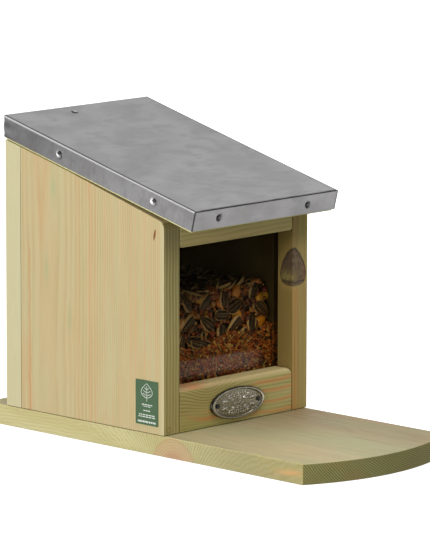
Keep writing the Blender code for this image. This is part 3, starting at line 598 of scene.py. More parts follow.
def pane_material():
    """Clear acrylic sheet with a hazy band low down that is a painted reflection with a speckle, and faint smears."""
    look = Surface("clear_acrylic")
    x, y, z = look.x, look.y, look.z
    tree = look.tree
    level = z + (x + 40.0) * 0.018 + (look.noise(x / 9, 0.0, z / 5) - 0.5) * 2.0
    band = level.ramp(47.5, 46.2) * level.ramp(36.0, 40.0)
    speckle = look.noise(x / 0.8, y, z / 0.8, 3.0)
    smear = look.noise(x / 30, 0.0, z / 9, 3.0).ramp(0.45, 0.8)
    # Painted reflection: a speckled lilac-grey veil mixed over the sheet in a band low down.
    reflection_haze = band * (speckle.ramp(0.3, 0.7) * 0.5 + 0.05) * x.ramp(36.0, 22.0) * 0.34 + smear * 0.002
    look.colour = linear((200, 172, 172))
    look.paint(speckle.ramp(0.4, 0.8) * 0.4, (216, 196, 194))
    clear = add_node(tree, "BsdfTransparent", (0.95, 0.92, 0.84, 1.0))
    gloss = add_node(tree, "BsdfGlossy", (0.035, 0.025, 0.012, 1.0), Roughness=0.04)
    edge_on = Field(tree, add_node(tree, "LayerWeight", 0.5).outputs["Facing"])
    sheet = add_node(tree, "MixShader", edge_on ** 5.0 * 0.96 + 0.04, clear.outputs[0], gloss.outputs[0])
    reflection_haze = reflection_haze * look.facing("-y", 0.3, 0.7)
    sheet_and_reflection_haze = add_node(tree, "MixShader", reflection_haze, sheet.outputs[0], look.shader.outputs[0])
    tree.links.new(sheet_and_reflection_haze.outputs[0], tree.nodes["Material Output"].inputs["Surface"])
    return look.finish(speckle * 0.3 + 0.5)


def dimmer_inside(look):
    """Painted shade: the seeds are darker away from the pane, up under the lid and by the left panel."""
    depth = look.y.ramp(34.0, 6.0) * 0.8 + 0.2
    height = look.z.ramp(86.0, 64.0) * 0.65 + 0.35
    side = look.x.ramp(-48.0, -20.0) * 0.55 + 0.45
    return depth * height * side


def sunflower_material():
    """Dark brown husks with cream margins and thin cream stripes along them."""
    look = Surface("sunflower_husk")
    across, deep, along = look.split(look.attribute("own", "Vector"))
    tone = look.attribute("tone")
    fine = look.noise(across / 0.3 + tone * 40.0, deep / 0.3, along / 3.5)
    lateral = (deep * 1.7).op("ARCTAN2", across).op("COSINE") + (fine - 0.5) * 0.16
    look.colour = linear((33, 22, 12))
    look.paint(tone.ramp(0.6, 0.95) * 0.4, (84, 58, 34))
    look.paint((lateral - tone * 0.3).near(0.12, 0.05) * 0.6, (196, 158, 108))
    look.paint((lateral + tone * 0.2).near(-0.36, 0.05) * 0.6, (196, 158, 108))
    look.paint(lateral.op("ABSOLUTE").ramp(0.86, 0.92) * 0.95, (250, 214, 158))
    look.shade(dimmer_inside(look) * 0.9)
    look.shade((fine - 0.5) * 0.7 + 1.0)
    return look.finish(0.45 + fine * 0.15, fine, 0.08, 0.4, specular=0.2)


def grain_material(name, colours, gloss):
    """Grains whose colour differs from one to the next."""
    look = Surface(name)
    across, deep, along = look.split(look.attribute("own", "Vector"))
    tone = look.attribute("tone")
    cloud = look.noise(across / 1.2 + tone * 60.0, deep / 1.2, along / 1.2)
    look.colour = linear(colours[0])
    for k, colour in enumerate(colours[1:], 1):
        edge = k / len(colours)
        look.paint(tone.ramp(edge - 0.04, edge + 0.04), colour)
    look.shade(cloud * 0.9 + 0.5)
    look.shade(dimmer_inside(look) * 0.8)
    return look.finish(gloss + cloud * 0.15, cloud, 0.1, 0.3)


def bed_material():
    """The rest of the heap, seen only between the grains."""
    look = Surface("seed_bed")
    hump, tone = look.cells(2.2)
    # The dark browns are partly the heap's own colour and partly painted shade between the grains; each hump is
    # darkened towards its edge as painted shade.
    look.colour = linear((40, 24, 12))
    look.paint(tone.ramp(0.3, 0.6) * 0.7, (66, 38, 16))
    look.paint(tone.ramp(0.6, 0.9) * 0.7, (22, 16, 10))
    look.shade(1.05 - hump * 0.8)
    return look.finish(0.7 + tone * 0.1, hump * -1.0, 1.0, 0.8)


def floor_material():
    """Plain near-white studio floor."""
    look = Surface("studio_floor")
    cloud = look.noise(look.x / 900, look.y / 900, 0.0)
    look.colour = linear((205, 205, 205))
    look.paint(cloud * 0.1, (200, 200, 200))
    look.shader.inputs["Emission Color"].default_value = (1.0, 1.0, 1.0, 1.0)
    look.shader.inputs["Emission Strength"].default_value = 0.85
    return look.finish(0.8 + cloud * 0.05, specular=0.0)


# ---------------------------------------------------------------- making pieces


def bridge(shape, near, far, closed=True):
    """Faces between two rows or rings of vertices; one of them may be a single vertex."""
    count = max(len(near), len(far))
    for k in range(count if closed else count - 1):
        m = (k + 1) % count
        corners = (near[k % len(near)], near[m % len(near)], far[m % len(far)], far[k % len(far)])
        shape.faces.new(list(dict.fromkeys(corners)))


def link_piece(name, mesh, body, replaces=()):
    """Put a mesh into the scene as a piece that rides on a body."""
    piece = bpy.data.objects.new(name, mesh)
    bpy.context.scene.collection.objects.link(piece)
    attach(piece, body)
    if replaces:
        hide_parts(*replaces)
    return piece


def add_piece(name, shape, material, body, replaces=(), smooth_angle=35):
    """Turn a bmesh into a piece that rides on a body."""
    bmesh.ops.recalc_face_normals(shape, faces=shape.faces)
    mesh = bpy.data.meshes.new(name)
    shape.to_mesh(mesh)
    shape.free()
    mesh.shade_smooth()
    mesh.set_sharp_from_angle(angle=math.radians(smooth_angle))
    mesh.materials.append(material)
    return link_piece(name, mesh, body, replaces)


def body_of(node):
    """The CAD body that a node belongs to."""
    bodies = frame["record"]["behaviour"]["bodies"]
    return next(body for body, members in bodies.items() if node in members)


KEEP_CLEAR = [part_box(name) for name in FASTENERS]


def by_a_fastener(point, slack=1.4 * MM):
    """True for a place in or at a fastener's hole."""
    for low, high in KEEP_CLEAR:
        if all(low[i] - slack <= point[i] <= high[i] + slack for i in range(3)):
            return True
    return False


def close_joints(shape, node):
    """Draw two faces of the house closer to what they meet, so that the joints read as thin lines."""
    for vertex in shape.verts:
        if node == "back_board" and vertex.co.y < LEFT_HIGH.y + 0.4 * MM:
            vertex.co.y -= 0.2 * MM
        if (vertex.co - ORIGIN).dot(NORMAL) + FLANGE > -1.7 * MM:
            vertex.co += NORMAL * 0.2 * MM


def softened(node, material, width, segments=2):
    """A copy of a CAD solid with its long arrises eased, standing for that node."""
    shape = bmesh.new()
    shape.from_mesh(frame["nodes"][node].data)
    bmesh.ops.remove_doubles(shape, verts=shape.verts, dist=0.002 * MM)
    bmesh.ops.dissolve_limit(shape, angle_limit=math.radians(0.6), verts=shape.verts, edges=shape.edges)
    if node in ("left_side_panel", "right_side_panel", "back_board"):
        close_joints(shape, node)
    arrises = []
    for edge in shape.edges:
        if len(edge.link_faces) != 2 or edge.calc_face_angle(0.0) < math.radians(40):
            continue
        if not by_a_fastener((edge.verts[0].co + edge.verts[1].co) / 2):
            arrises.append(edge)
    bmesh.ops.bevel(shape, geom=arrises, offset=width, segments=segments, profile=0.5, affect="EDGES")
    piece = add_piece(node + "_softened", shape, material, body_of(node), (node,), 45)
    weighted = piece.modifiers.new("flat_faces", "WEIGHTED_NORMAL")
    weighted.keep_sharp = True
    weighted.weight = 100


def apply_modifiers(piece, sharp_angle):
    """Replace the piece's mesh by what its modifiers make of it, shaded smooth below an angle."""
    seen = piece.evaluated_get(bpy.context.evaluated_depsgraph_get())
    mesh = bpy.data.meshes.new_from_object(seen)
    piece.modifiers.clear()
    piece.data = mesh
    mesh.shade_smooth()
    mesh.set_sharp_from_angle(angle=math.radians(sharp_angle))


# ---------------------------------------------------------------- folded metal cover

ROOF_ANGLE = math.radians(14.37)
BEND = 0.7 * MM
HALF = SHEET_HIGH.x
ALONG = Vector((0, math.cos(ROOF_ANGLE), math.sin(ROOF_ANGLE)))
NORMAL = Vector((0, -math.sin(ROOF_ANGLE), math.cos(ROOF_ANGLE)))
FLANGE = 11.1 * MM

# The slope's length, and the middle of the cover's front edge on its outer top face, from the node's box
LENGTH = (SHEET_HIGH.y - SHEET_LOW.y) / ALONG.y
ORIGIN = Vector((0, SHEET_HIGH.y, SHEET_HIGH.z)) - ALONG * LENGTH

DIMPLE = 2.2 * MM
DIMPLE_DEEP = 0.95 * MM
FACE_AXIS = {"left": 0, "right": 0, "front": 1, "top": 2}

# Across a bend, from the top face to the flange: wear with a painted highlight, and grime with painted shade
SIDE_WEAR_AND_HIGHLIGHT = (0.0, 0.0, 0.1, 0.6, 1.0, 1.0, 0.7)
SIDE_GRIME_AND_SHADE = (0.9, 1.0, 1.0, 0.4, 0.0, 0.0, 0.0)
FRONT_GRIME_AND_SHADE = (0.0, 0.7, 1.0, 1.0, 0.8, 0.4, 0.1)


def sheet_point(x, along, height):
    """A place on the cover: across, up the slope from the front face and above the flange's lower edge."""
    return Vector((x, 0, 0)) + ORIGIN + ALONG * along + NORMAL * (height - FLANGE)


def nail_places():
    """Name, face and place on the sheet (across, along, height) of each nail through the metal."""
    places = []
    for name in FASTENERS:
        face = name.split("_")[0]
        if "flange" in name or face == "top":
            low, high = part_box(name)
            middle = (low + high) / 2
            middle.x = {"left": -HALF, "right": HALF}.get(face, middle.x)
            offset = middle - ORIGIN
            places.append((name, face, (middle.x, offset.dot(ALONG), offset.dot(NORMAL) + FLANGE)))
    return places


NAILS = nail_places()


def nails_in(*faces):
    """Places of the nails in some faces of the sheet."""
    return [place for _, face, place in NAILS if face in faces]


def gap_in(face, place, nail):
    """Distance within a face between two places on the sheet."""
    return math.hypot(*(place[i] - nail[i] for i in range(3) if i != FACE_AXIS[face]))


def dent(face, *place):
    """How far the metal is pushed in near the nails."""
    deep = 0.0
    for nail in nails_in(face):
        share = min(1.0, max(0.0, (1.2 * DIMPLE - gap_in(face, place, nail)) / (0.8 * DIMPLE)))
        deep = max(deep, DIMPLE_DEEP * share * share * (3 - 2 * share))
    return deep


def low_rear_side(face, along, height):
    """1 on the lower rear side of a dimple in a side flange, falling to 0 on its other side."""
    share = 0.0
    for _, nail_along, nail_height in nails_in(face):
        back = along - nail_along
        if abs(back) < 2 * DIMPLE:
            share = max(share, min(1.0, 0.4 + (back + nail_height - height) / DIMPLE))
    return share


def lines_between(low, high, spots, extra):
    """Grid levels from low to high, closer together near some places, with extra ones near the ends."""
    coarse, fine, reach = 6 * MM, 0.55 * MM, 3.6 * MM
    count = max(1, round((high - low) / coarse))
    levels = {low, high}
    levels.update(low + (high - low) * k / count for k in range(count + 1))
    steps = round(2 * reach / fine)
    for spot in spots:
        near = [spot - reach + 2 * reach * k / steps for k in range(steps + 1)]
        levels.update(level for level in near if low < level < high)
    kept = []
    for level in sorted(levels):
        if not kept or level - kept[-1] > 0.3 * fine:
            kept.append(level)
    kept[-1] = high
    return sorted(kept + extra)


def add_grid(shape, rows, layers):
    """Faces between rows of points, each of which brings its numbers for the layers."""
    made = []
    for row in rows:
        made.append([])
        for point, *numbers in row:
            vertex = shape.verts.new(point)
            for layer, number in zip(layers, numbers):
                vertex[layer] = number
            made[-1].append(vertex)
    for near, far in zip(made, made[1:]):
        bridge(shape, near, far, closed=False)


def sheet_wave(x, along):
    """Slight unevenness of the flat of the sheet, and a slight rise towards its rear."""
    share = along / LENGTH
    wave = math.sin(x * 41 + 0.7) * math.sin(along * 37 + 0.4) * math.sin(math.pi * share)
    return 0.45 * MM * share ** 3 + 0.10 * MM * wave


def top_rows(xs, alongs):
    """The top face; its rim and the mark round its nail carry grime and painted shade."""
    rows = []
    for j, along in enumerate(alongs):
        row = []
        for i, x in enumerate(xs):
            place = (x, along, FLANGE)
            dark = max(2.2 - gap_in("top", place, nail) / (0.5 * DIMPLE) for nail in nails_in("top"))
            if j < 2 or i < 2 or i >= len(xs) - 2:
                dark = 1.0
            height = FLANGE + sheet_wave(x, along) - dent("top", *place)
            row.append((sheet_point(x, along, height), 0.0, min(1.0, max(0.0, dark))))
        rows.append(row)
    return rows


def side_rows(side, alongs, turns, levels):
    """A side flange with its bend; its rear edge is plumb, its front end is a corner seam with grime and painted
    shade, and its dimples carry a painted highlight on their lower rear side.
    """
    face = "left" if side < 0 else "right"
    rows = []
    for j, along in enumerate(alongs):
        share = along / LENGTH
        wave = sheet_wave(side * (HALF - BEND), along)
        row = []
        for turn, highlight_and_wear, dark in zip(reversed(turns), SIDE_WEAR_AND_HIGHLIGHT, SIDE_GRIME_AND_SHADE):
            height = FLANGE - BEND + BEND * math.sin(turn) + wave
            x = side * (HALF - BEND + BEND * math.cos(turn))
            row.append((sheet_point(x, along - share * rear_drop(height), height), highlight_and_wear, dark))
        for height in levels:
            place = along - share * rear_drop(height)
            push = dent(face, 0, along, height)
            # Painted highlight on the lower rear side of each dimple.
            highlight_and_wear = push / (0.25 * DIMPLE_DEEP)
            if side < 0:
                push += 0.22 * MM * math.sin(height * 900) * max(0.0, share - 0.93) / 0.07
            highlight_and_wear = min(1.0, highlight_and_wear) * low_rear_side(face, place, height)
            row.append((sheet_point(side * (HALF - push), place, height), highlight_and_wear, 0.0))
        if j < 2:
            row[2:] = [(point, 0.0, 1.0) for point, *_ in row[2:]]
        rows.append(row)
    return rows


def rear_drop(height):
    """How much shorter the sheet is, along the slope, at the rear below its top face."""
    return (FLANGE - height) * math.tan(ROOF_ANGLE)


def front_rows(xs, turns, levels):
    """The front flange with its bend; the dimples carry grime and painted shade."""
    rows = []
    for turn, dark in zip(turns, FRONT_GRIME_AND_SHADE):
        height = FLANGE - BEND + BEND * math.cos(turn)
        rows.append([(sheet_point(x, BEND - BEND * math.sin(turn), height), 0.0, dark) for x in xs])
    for height in levels:
        pushes = [dent("front", x, 0, height) for x in xs]
        darks = [min(0.75, push / (0.6 * DIMPLE_DEEP)) for push in pushes]
        rows.append([(sheet_point(x, push, height), 0.0, dark) for x, push, dark in zip(xs, pushes, darks)])
    return rows


def folded_cover(material):
    """Top, side flanges and front flange as one sheet with rounded bends and open corner seams."""
    side_x = HALF - BEND
    nails_x = [nail[0] for nail in nails_in("front", "top")]
    nails_along = [nail[1] for nail in nails_in("left", "right", "top")]
    near_sides = [side * (side_x - step * MM) for side in (-1, 1) for step in (0.6, 0.95)]
    xs = lines_between(-side_x, side_x, nails_x, near_sides)
    alongs = lines_between(BEND, LENGTH, nails_along, [BEND + 0.4 * MM, BEND + 0.8 * MM])
    turns = [math.pi / 2 * k / 6 for k in range(7)]
    levels = [(FLANGE - BEND) * k / 20 for k in reversed(range(20))]
    shape = bmesh.new()
    layers = [shape.verts.layers.float.new(name) for name in ("wear_and_highlight", "grime_and_shade")]
    add_grid(shape, top_rows(xs, alongs), layers)
    for side in (-1, 1):
        add_grid(shape, side_rows(side, [0.0, 0.5 * BEND] + alongs, turns, levels), layers)
    add_grid(shape, front_rows(xs, turns, levels), layers)
    bmesh.ops.remove_doubles(shape, verts=shape.verts, dist=0.01 * MM)
    piece = add_piece("folded_metal_cover", shape, material, "roof", ("roof_sheet",), 40)
    middle = sheet_point(0, LENGTH / 2, 0)
    if sum((face.center - middle).dot(face.normal) * face.area for face in piece.data.polygons) < 0:
        piece.data.flip_normals()
    walls = piece.modifiers.new("thickness", "SOLIDIFY")
    walls.thickness = 0.6 * MM
    walls.offset = -1.0
    walls.use_even_offset = True
    apply_modifiers(piece, 38)


# ---------------------------------------------------------------- fasteners

THREAD_PITCH = 1.1 * MM


def along_line(start, direction, spin=0.0):
    """Matrix that stands Z on a line from a point."""
    turn = UP.rotation_difference(direction).to_matrix().to_4x4()
    return Matrix.Translation(start) @ turn @ Matrix.Rotation(spin, 4, "Z")


def fastener(node, inward, kind, material, spin=0.0):
    """A domed nail, or a screw with a thread and a cross recess, in place of a CAD fastener."""
    low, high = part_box(node)
    radius = min(size for size, part in zip(high - low, inward) if abs(part) < 0.5) / 2
    if node in [name for name, *_ in NAILS]:
        radius = 0.95 * MM
    reach = [vertex.co.dot(inward) for vertex in frame["nodes"][node].data.vertices]
    long = max(reach) - min(reach)
    outer = (low + high) / 2 - inward * (long / 2)
    shank = radius * (0.53 if kind == "nail" else 0.5)
    point = long - 1.6 * shank
    profile = [(0.10 * MM, 0)]
    profile += [(0.10 * MM * share ** 2, radius * 0.86 * share) for share in (0.2, 0.4, 0.6, 0.8, 1.0)]
    profile += [(0.16 * MM, radius * 0.97), (0.30 * MM, radius)]
    if kind == "nail":
        profile += [(0.5 * MM, radius * 0.96), (0.7 * MM, shank)]
    else:
        profile += [(0.45 * MM, radius), (radius * 0.7, shank * 1.05)]
        level = radius * 0.7 + 1.5 * MM
        while level + THREAD_PITCH < point:
            root_end = level + 0.45 * THREAD_PITCH
            profile += [(level, shank * 0.82), (root_end, shank * 0.82), (level + 0.7 * THREAD_PITCH, shank)]
            level += THREAD_PITCH
    profile += [(point, shank), (long - 0.1 * MM, shank * 0.18), (long, 0)]
    shape = bmesh.new()
    place = along_line(outer, inward)
    turns = [math.tau * k / 28 for k in range(28)]
    rings = []
    for distance, size in profile:
        ring = turns if size else turns[:1]
        points = [place @ Vector((size * math.cos(turn), size * math.sin(turn), distance)) for turn in ring]
        rings.append([shape.verts.new(point) for point in points])
    for near, far in zip(rings, rings[1:]):
        bridge(shape, near, far)
    piece = add_piece(node + "_made", shape, material, body_of(node), (node,), 32)
    if kind != "nail":
        cut_cross(piece, along_line(outer, inward, spin), radius)


def cut_cross(piece, place, radius):
    """Cut a cross recess into a screw's head."""
    blades = bmesh.new()
    for turn, wide in ((0.0, 1.0), (math.pi / 2, 0.999)):
        here = place @ Matrix.Rotation(turn, 4, "Z")
        for vertex in bmesh.ops.create_cube(blades, size=2.0)["verts"]:
            share, level = (1.0, -0.4 * MM) if vertex.co.z < 0 else (0.45, radius * 0.34)
            x = vertex.co.x * radius * 0.62 * share
            vertex.co = here @ Vector((x, vertex.co.y * radius * 0.13 * wide, level))
    bmesh.ops.recalc_face_normals(blades, faces=blades.faces)
    mesh = bpy.data.meshes.new("slot_cutter")
    blades.to_mesh(mesh)
    blades.free()
    cutter = bpy.data.objects.new("slot_cutter", mesh)
    bpy.context.scene.collection.objects.link(cutter)
    cut = piece.modifiers.new("slot", "BOOLEAN")
    cut.object = cutter
    cut.solver = "EXACT"
    cut.use_self = True
    apply_modifiers(piece, 32)
    bpy.data.objects.remove(cutter, do_unlink=True)


# ---------------------------------------------------------------- seeds

HEAP = 1.8 * MM


def seed_template(length, width, thick, rings, sides, taper=0.0, flat=0.0):
    """Points (in mm) and faces of one seed round its own origin, long along Z and flat along Y."""
    points = [Vector((0, 0, -length / 2))]
    for i in range(1, rings):
        turn = math.pi * i / rings
        z = -length / 2 * math.cos(turn)
        share = math.sin(turn) ** 0.8 * (1 - taper * z / length)
        for k in range(sides):
            angle = math.tau * k / sides
            deep = thick / 2 * share * math.sin(angle) * (1 - flat * abs(math.sin(angle)) ** 6)
            points.append(Vector((width / 2 * share * math.cos(angle), deep, z)))
    points.append(Vector((0, 0, length / 2)))
    last = len(points) - 1
    faces = []
    for k in range(sides):
        m = (k + 1) % sides
        faces.append((0, 1 + m, 1 + k))
        for low in range(1, last - sides, sides):
            faces.append((low + k, low + m, low + sides + m, low + sides + k))
        faces.append((last - sides + k, last - sides + m, last))
    return points, faces


def scatter(name, template, placements, material):
    """One piece made of many seeds; each point remembers its place on its seed and the seed's tone."""
    points, faces = template
    vertices, polygons, own, tones = [], [], [], []
    for matrix, tone in placements:
        start = len(vertices)
        vertices.extend(matrix @ (p * MM) for p in points)
        own.extend(c for p in points for c in p)
        tones.extend([tone] * len(points))
        polygons.extend(tuple(start + i for i in face) for face in faces)
    mesh = bpy.data.meshes.new(name)
    mesh.from_pydata(vertices, [], polygons)
    mesh.attributes.new("own", "FLOAT_VECTOR", "POINT").data.foreach_set("vector", own)
    mesh.attributes.new("tone", "FLOAT", "POINT").data.foreach_set("value", tones)
    mesh.materials.append(material)
    mesh.shade_smooth()
    link_piece(name, mesh, "house")


def spread(source, count, low, high, gap, keep=None):
    """Random places in a flat box, no closer than gap to each other."""
    places = []
    grid = {}
    tries = 0
    while len(places) < count and tries < count * 30:
        tries += 1
        a = source.uniform(low[0], high[0])
        b = source.uniform(low[1], high[1])
        if keep and not keep(a, b):
            continue
        key = (int(a / gap), int(b / gap))
        near = [p for i in (-1, 0, 1) for j in (-1, 0, 1) for p in grid.get((key[0] + i, key[1] + j), ())]
        if any(math.hypot(a - p[0], b - p[1]) < gap for p in near):
            continue
        grid.setdefault(key, []).append((a, b))
        places.append((a, b))
    return places


def heap_top(x, y):
    """Height of the heap's surface."""
    bump = math.sin(x * 71 + 0.8) * math.cos(y * 57 + 0.3) + 0.6 * math.sin(x * 33 - y * 45)
    return SEED_HIGH.z - 3.6 * MM + HEAP * bump


def fine_level(x):
    """Height, on the pane, below which the heap is fine millet."""
    return (51.0 + (x / MM) * 0.09 + 2.4 * math.sin(x * 150)) * MM


def inside_heap(value, low, high, reach):
    """A coordinate moved so that a seed of that reach stays between two walls."""
    return min(max(value, low + reach), high - reach)


def lay_on_pane(source, places, length, thick, depth, lean):
    """Seeds lying against the pane, each turned at random in its plane."""
    laid = []
    for x, z in places:
        turn = source.uniform(0, math.tau)
        x = inside_heap(x, SEED_LOW.x, SEED_HIGH.x, abs(math.sin(turn)) * length / 2 + 0.3 * MM)
        y = SEED_LOW.y - 0.4 * MM + thick / 2 + length * 0.5 * math.sin(lean) + depth + source.uniform(0, 0.5) * MM
        place = Matrix.Translation((x, y, z)) @ Matrix.Rotation(turn, 4, "Y")
        place = place @ Matrix.Rotation(source.uniform(-lean, lean), 4, "X")
        place = place @ Matrix.Rotation(source.uniform(-0.5, 0.5), 4, "Z")
        laid.append((place @ Matrix.Scale(source.uniform(0.88, 1.05), 4), source.random()))
    return laid


def lay_on_top(source, places, length, lift):
    """Seeds lying on top of the heap."""
    laid = []
    for x, y in places:
        x = inside_heap(x, SEED_LOW.x, SEED_HIGH.x, length / 2 + 0.6 * MM)
        y = inside_heap(y, SEED_LOW.y, SEED_HIGH.y, length / 2 + 0.6 * MM)
        place = Matrix.Translation((x, y, heap_top(x, y) + lift))
        place = place @ Matrix.Rotation(source.uniform(0, math.tau), 4, "Z")
        place = place @ Matrix.Rotation(math.pi / 2 + source.uniform(-0.7, 0.7), 4, "X")
        place = place @ Matrix.Rotation(source.uniform(-0.4, 0.4), 4, "Z")
        laid.append((place @ Matrix.Scale(source.uniform(0.88, 1.05), 4), source.random()))
    return laid


def seed_bed(material):
    """The heap behind and below the grains that show."""
    front = SEED_LOW.y + 5.0 * MM
    steps = 24
    xs = [SEED_LOW.x + (SEED_HIGH.x - SEED_LOW.x) * i / steps for i in range(steps + 1)]
    shape = bmesh.new()
    top, floor = [], []
    for j in range(steps + 1):
        y = front + (SEED_HIGH.y - front) * j / steps
        top.append([shape.verts.new((x, y, heap_top(x, y))) for x in xs])
        floor.append([shape.verts.new((x, y, SEED_LOW.z)) for x in xs])
    for rows in (top, floor):
        for near, far in zip(rows, rows[1:]):
            bridge(shape, near, far, closed=False)
    for end in (0, -1):
        bridge(shape, top[end], floor[end], closed=False)
        bridge(shape, [row[end] for row in top], [row[end] for row in floor], closed=False)
    add_piece("seed_bed", shape, material, "house", ("seed_fill",), 60)


def make_seeds():
    """Striped sunflower seeds, maize, small grains, straw and millet, over a dark bed."""
    source = random.Random(11)
    seed_bed(bed_material())
    left, right = SEED_LOW.x + 2 * MM, SEED_HIGH.x - 2 * MM
    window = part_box("front_board")[1].z - 3 * MM
    crest = SEED_HIGH.z - 4 * MM

    def upper(x, z):
        return z > fine_level(x)

    def lower(x, z):
        return z < fine_level(x) + 3 * MM

    def on_pane(count, gap, keep, length, thick, depth, high=crest, lean=0.22, beyond=0.0):
        places = spread(source, count, (left, window), (right + beyond, high), gap * MM, keep)
        return lay_on_pane(source, places, length * MM, thick * MM, depth * MM, lean)

    def on_top(count, gap, length, lift):
        places = spread(source, count, SEED_LOW, SEED_HIGH, gap * MM)
        return lay_on_top(source, places, length * MM, lift * MM)

    husks = on_pane(62, 5.6, upper, 11.8, 3.6, 3.8)
    husks += on_pane(27, 9.4, upper, 11.8, 3.6, 0.0)
    husks += on_pane(5, 14, lower, 11.8, 3.6, 0.0, 48 * MM, 0.05)
    husks += on_top(120, 6.2, 11.8, 2.2)
    scatter("sunflower_seeds", seed_template(11.8, 6.8, 3.6, 12, 20, 0.62, 0.1), husks, sunflower_material())
    maize = on_pane(13, 12, upper, 8.0, 4.8, 0.6)
    maize += on_pane(30, 7.5, upper, 8.0, 4.8, 3.0)
    maize += on_top(34, 9, 8.0, 2.0)
    colours = ((255, 164, 24), (255, 190, 54), (232, 126, 26), (222, 164, 84), (186, 88, 38))
    kernel = seed_template(8.0, 6.2, 4.6, 9, 14, 0.4, 0.3)
    scatter("maize_grains", kernel, maize, grain_material("maize", colours, 0.28))
    small = on_pane(90, 4.0, upper, 4.0, 2.6, 1.8)
    small += on_pane(26, 7, lower, 4.0, 2.2, 0.0)
    small += on_top(70, 4.6, 4.0, 1.1)
    colours = ((104, 48, 20), (150, 86, 38), (190, 134, 68), (56, 32, 18), (144, 58, 24))
    small_seed = seed_template(4.4, 3.2, 2.4, 6, 9, 0.3)
    scatter("small_grains", small_seed, small, grain_material("mixed_grain", colours, 0.4))
    straw = on_pane(34, 5.0, lower, 6.4, 0.6, -0.2, 66 * MM, 0.03)
    straw += on_pane(12, 9, upper, 6.4, 0.6, -0.2, 62 * MM, 0.03)
    colours = ((226, 196, 110), (206, 170, 86), (236, 214, 150))
    scatter("straw_bits", seed_template(6.4, 0.5, 0.4, 6, 6), straw, grain_material("straw", colours, 0.5))
    millet = []
    for depth in (2.8, 1.4, 0.5, 0.0):
        millet += on_pane(1200, 1.7, lower, 1.9, 1.7, depth, 70 * MM, beyond=2 * MM)
    millet += on_pane(160, 2.2, upper, 1.9, 1.7, 3.0)
    millet += on_top(500, 2.2, 1.9, 0.4)
    colours = (
        (214, 122, 34), (176, 84, 20), (234, 152, 46), (136, 60, 18),
        (206, 106, 28), (244, 196, 104), (80, 40, 16), (190, 98, 28),
    )
    scatter("millet_grains", seed_template(1.9, 1.7, 1.6, 5, 7), millet, grain_material("millet", colours, 0.35))


# ---------------------------------------------------------------- oval plate and label


def plate_marks():
    """Places and leans of the short raised strokes above and below the middle of the plate."""
    source = random.Random(23)
    marks = []
    for row in (5.2, 3.7, -3.9, -5.3):
        for k in range(9):
            u = (k - 4) * 1.75 + source.uniform(-0.3, 0.3)
            v = row * math.sqrt(max(0.0, 1 - (u / 15.5) ** 2)) + source.uniform(-0.2, 0.2)
            marks.append((u, v, source.uniform(0, math.pi)))
    return marks


PLATE_MARKS = plate_marks()


def tendril(u):
    """Height of a curling line on the plate at a distance from its middle."""
    return 2.0 + 1.5 * math.sin(0.42 * (u - 3.0))


def relief(u, v):
    """Generic floral relief on the plate, 0 to 1, for a place in millimetres from its middle."""
    turn = math.atan2(v, u)
    reach = math.hypot(u, v)
    heights = [1.0 - abs(reach - 2.3 - 0.9 * math.cos(6 * turn)) / 0.42, 1.0 - reach / 0.8]
    for side in (-1, 1):
        for lift in (-1, 1):
            if 3.6 < side * u < 12.5:
                heights.append(1.0 - abs(v - lift * tendril(side * u)) / 0.40)
            for k in range(4):
                distance = 4.9 + 2.3 * k
                off_u = u - side * distance
                off_v = v - lift * (tendril(distance) + (1.0 if k % 2 else -1.0))
                leaf = (off_u * 0.8 + off_v * 0.5 * side) ** 2 / 0.9 + (off_v * 0.9) ** 2 / 0.35
                heights.append(1.0 - leaf)
    for mark_u, mark_v, lean in PLATE_MARKS:
        along = (u - mark_u) * math.cos(lean) + (v - mark_v) * math.sin(lean)
        aside = (v - mark_v) * math.cos(lean) - (u - mark_u) * math.sin(lean)
        heights.append(1.0 - (along / 0.85) ** 2 - (aside / 0.36) ** 2)
    for k in range(44):
        angle = math.tau * k / 44
        bead = math.hypot(u - 17.6 * math.cos(angle), v - 5.9 * math.sin(angle))
        heights.append(1.0 - (bead / 0.42) ** 2)
    return max(0.0, min(1.0, max(heights)))


def plate_surface(x, z, inside, share):
    """How far a place lies behind the plate's front, and how raised it is, from the metal's own middle."""
    rim = 1.5 * MM
    if inside < rim:
        turn = math.pi * (1 - inside / rim)
        deep = 0.80 * MM * (1 - math.sin(turn) ** 0.7)
        if inside < rim / 2:
            deep = 0.9 * MM * (1 - math.sin(turn) ** 0.8)
        return deep, 0.55 * math.sin(turn)
    mark = relief(x / MM, z / MM)
    deep = 0.80 * MM - 0.30 * MM * (1 - share * share) - 0.45 * MM * mark
    for side in (-1, 1):
        gap = math.hypot(x - side * 16 * MM, z)
        deep += 0.25 * MM * max(0.0, 1 - gap / (2.2 * MM))
    return deep, mark


def oval_plate(material):
    """Cast oval plate: rolled rim and a slightly domed field with a floral relief."""
    centre = (PLATE_LOW + PLATE_HIGH) / 2
    half = (PLATE_HIGH - PLATE_LOW) / 2
    front = PLATE_LOW.y
    shape = bmesh.new()
    layer = shape.verts.layers.float.new("relief")
    angles = [math.tau * k / 168 for k in range(168)]
    rings = [[shape.verts.new((centre.x, front + 0.08 * MM, centre.z))]]
    rings[0][0][layer] = 1.0
    for share in [k / 34 for k in range(1, 35)]:
        rings.append([])
        for angle in angles:
            x, z = half.x * share * math.cos(angle), half.z * share * math.sin(angle)
            deep, mark = plate_surface(x, z, (1 - share) * half.z, share)
            vertex = shape.verts.new((centre.x + x, front + deep, centre.z + z))
            vertex[layer] = mark
            rings[-1].append(vertex)
    around = [(centre.x + half.x * math.cos(a), PLATE_HIGH.y, centre.z + half.z * math.sin(a)) for a in angles]
    rings.append([shape.verts.new(point) for point in around])
    for near, far in zip(rings, rings[1:]):
        bridge(shape, near, far)
    shape.faces.new(rings[-1])
    add_piece("oval_relief_plate", shape, material, "house", ("oval_plate",), 50)


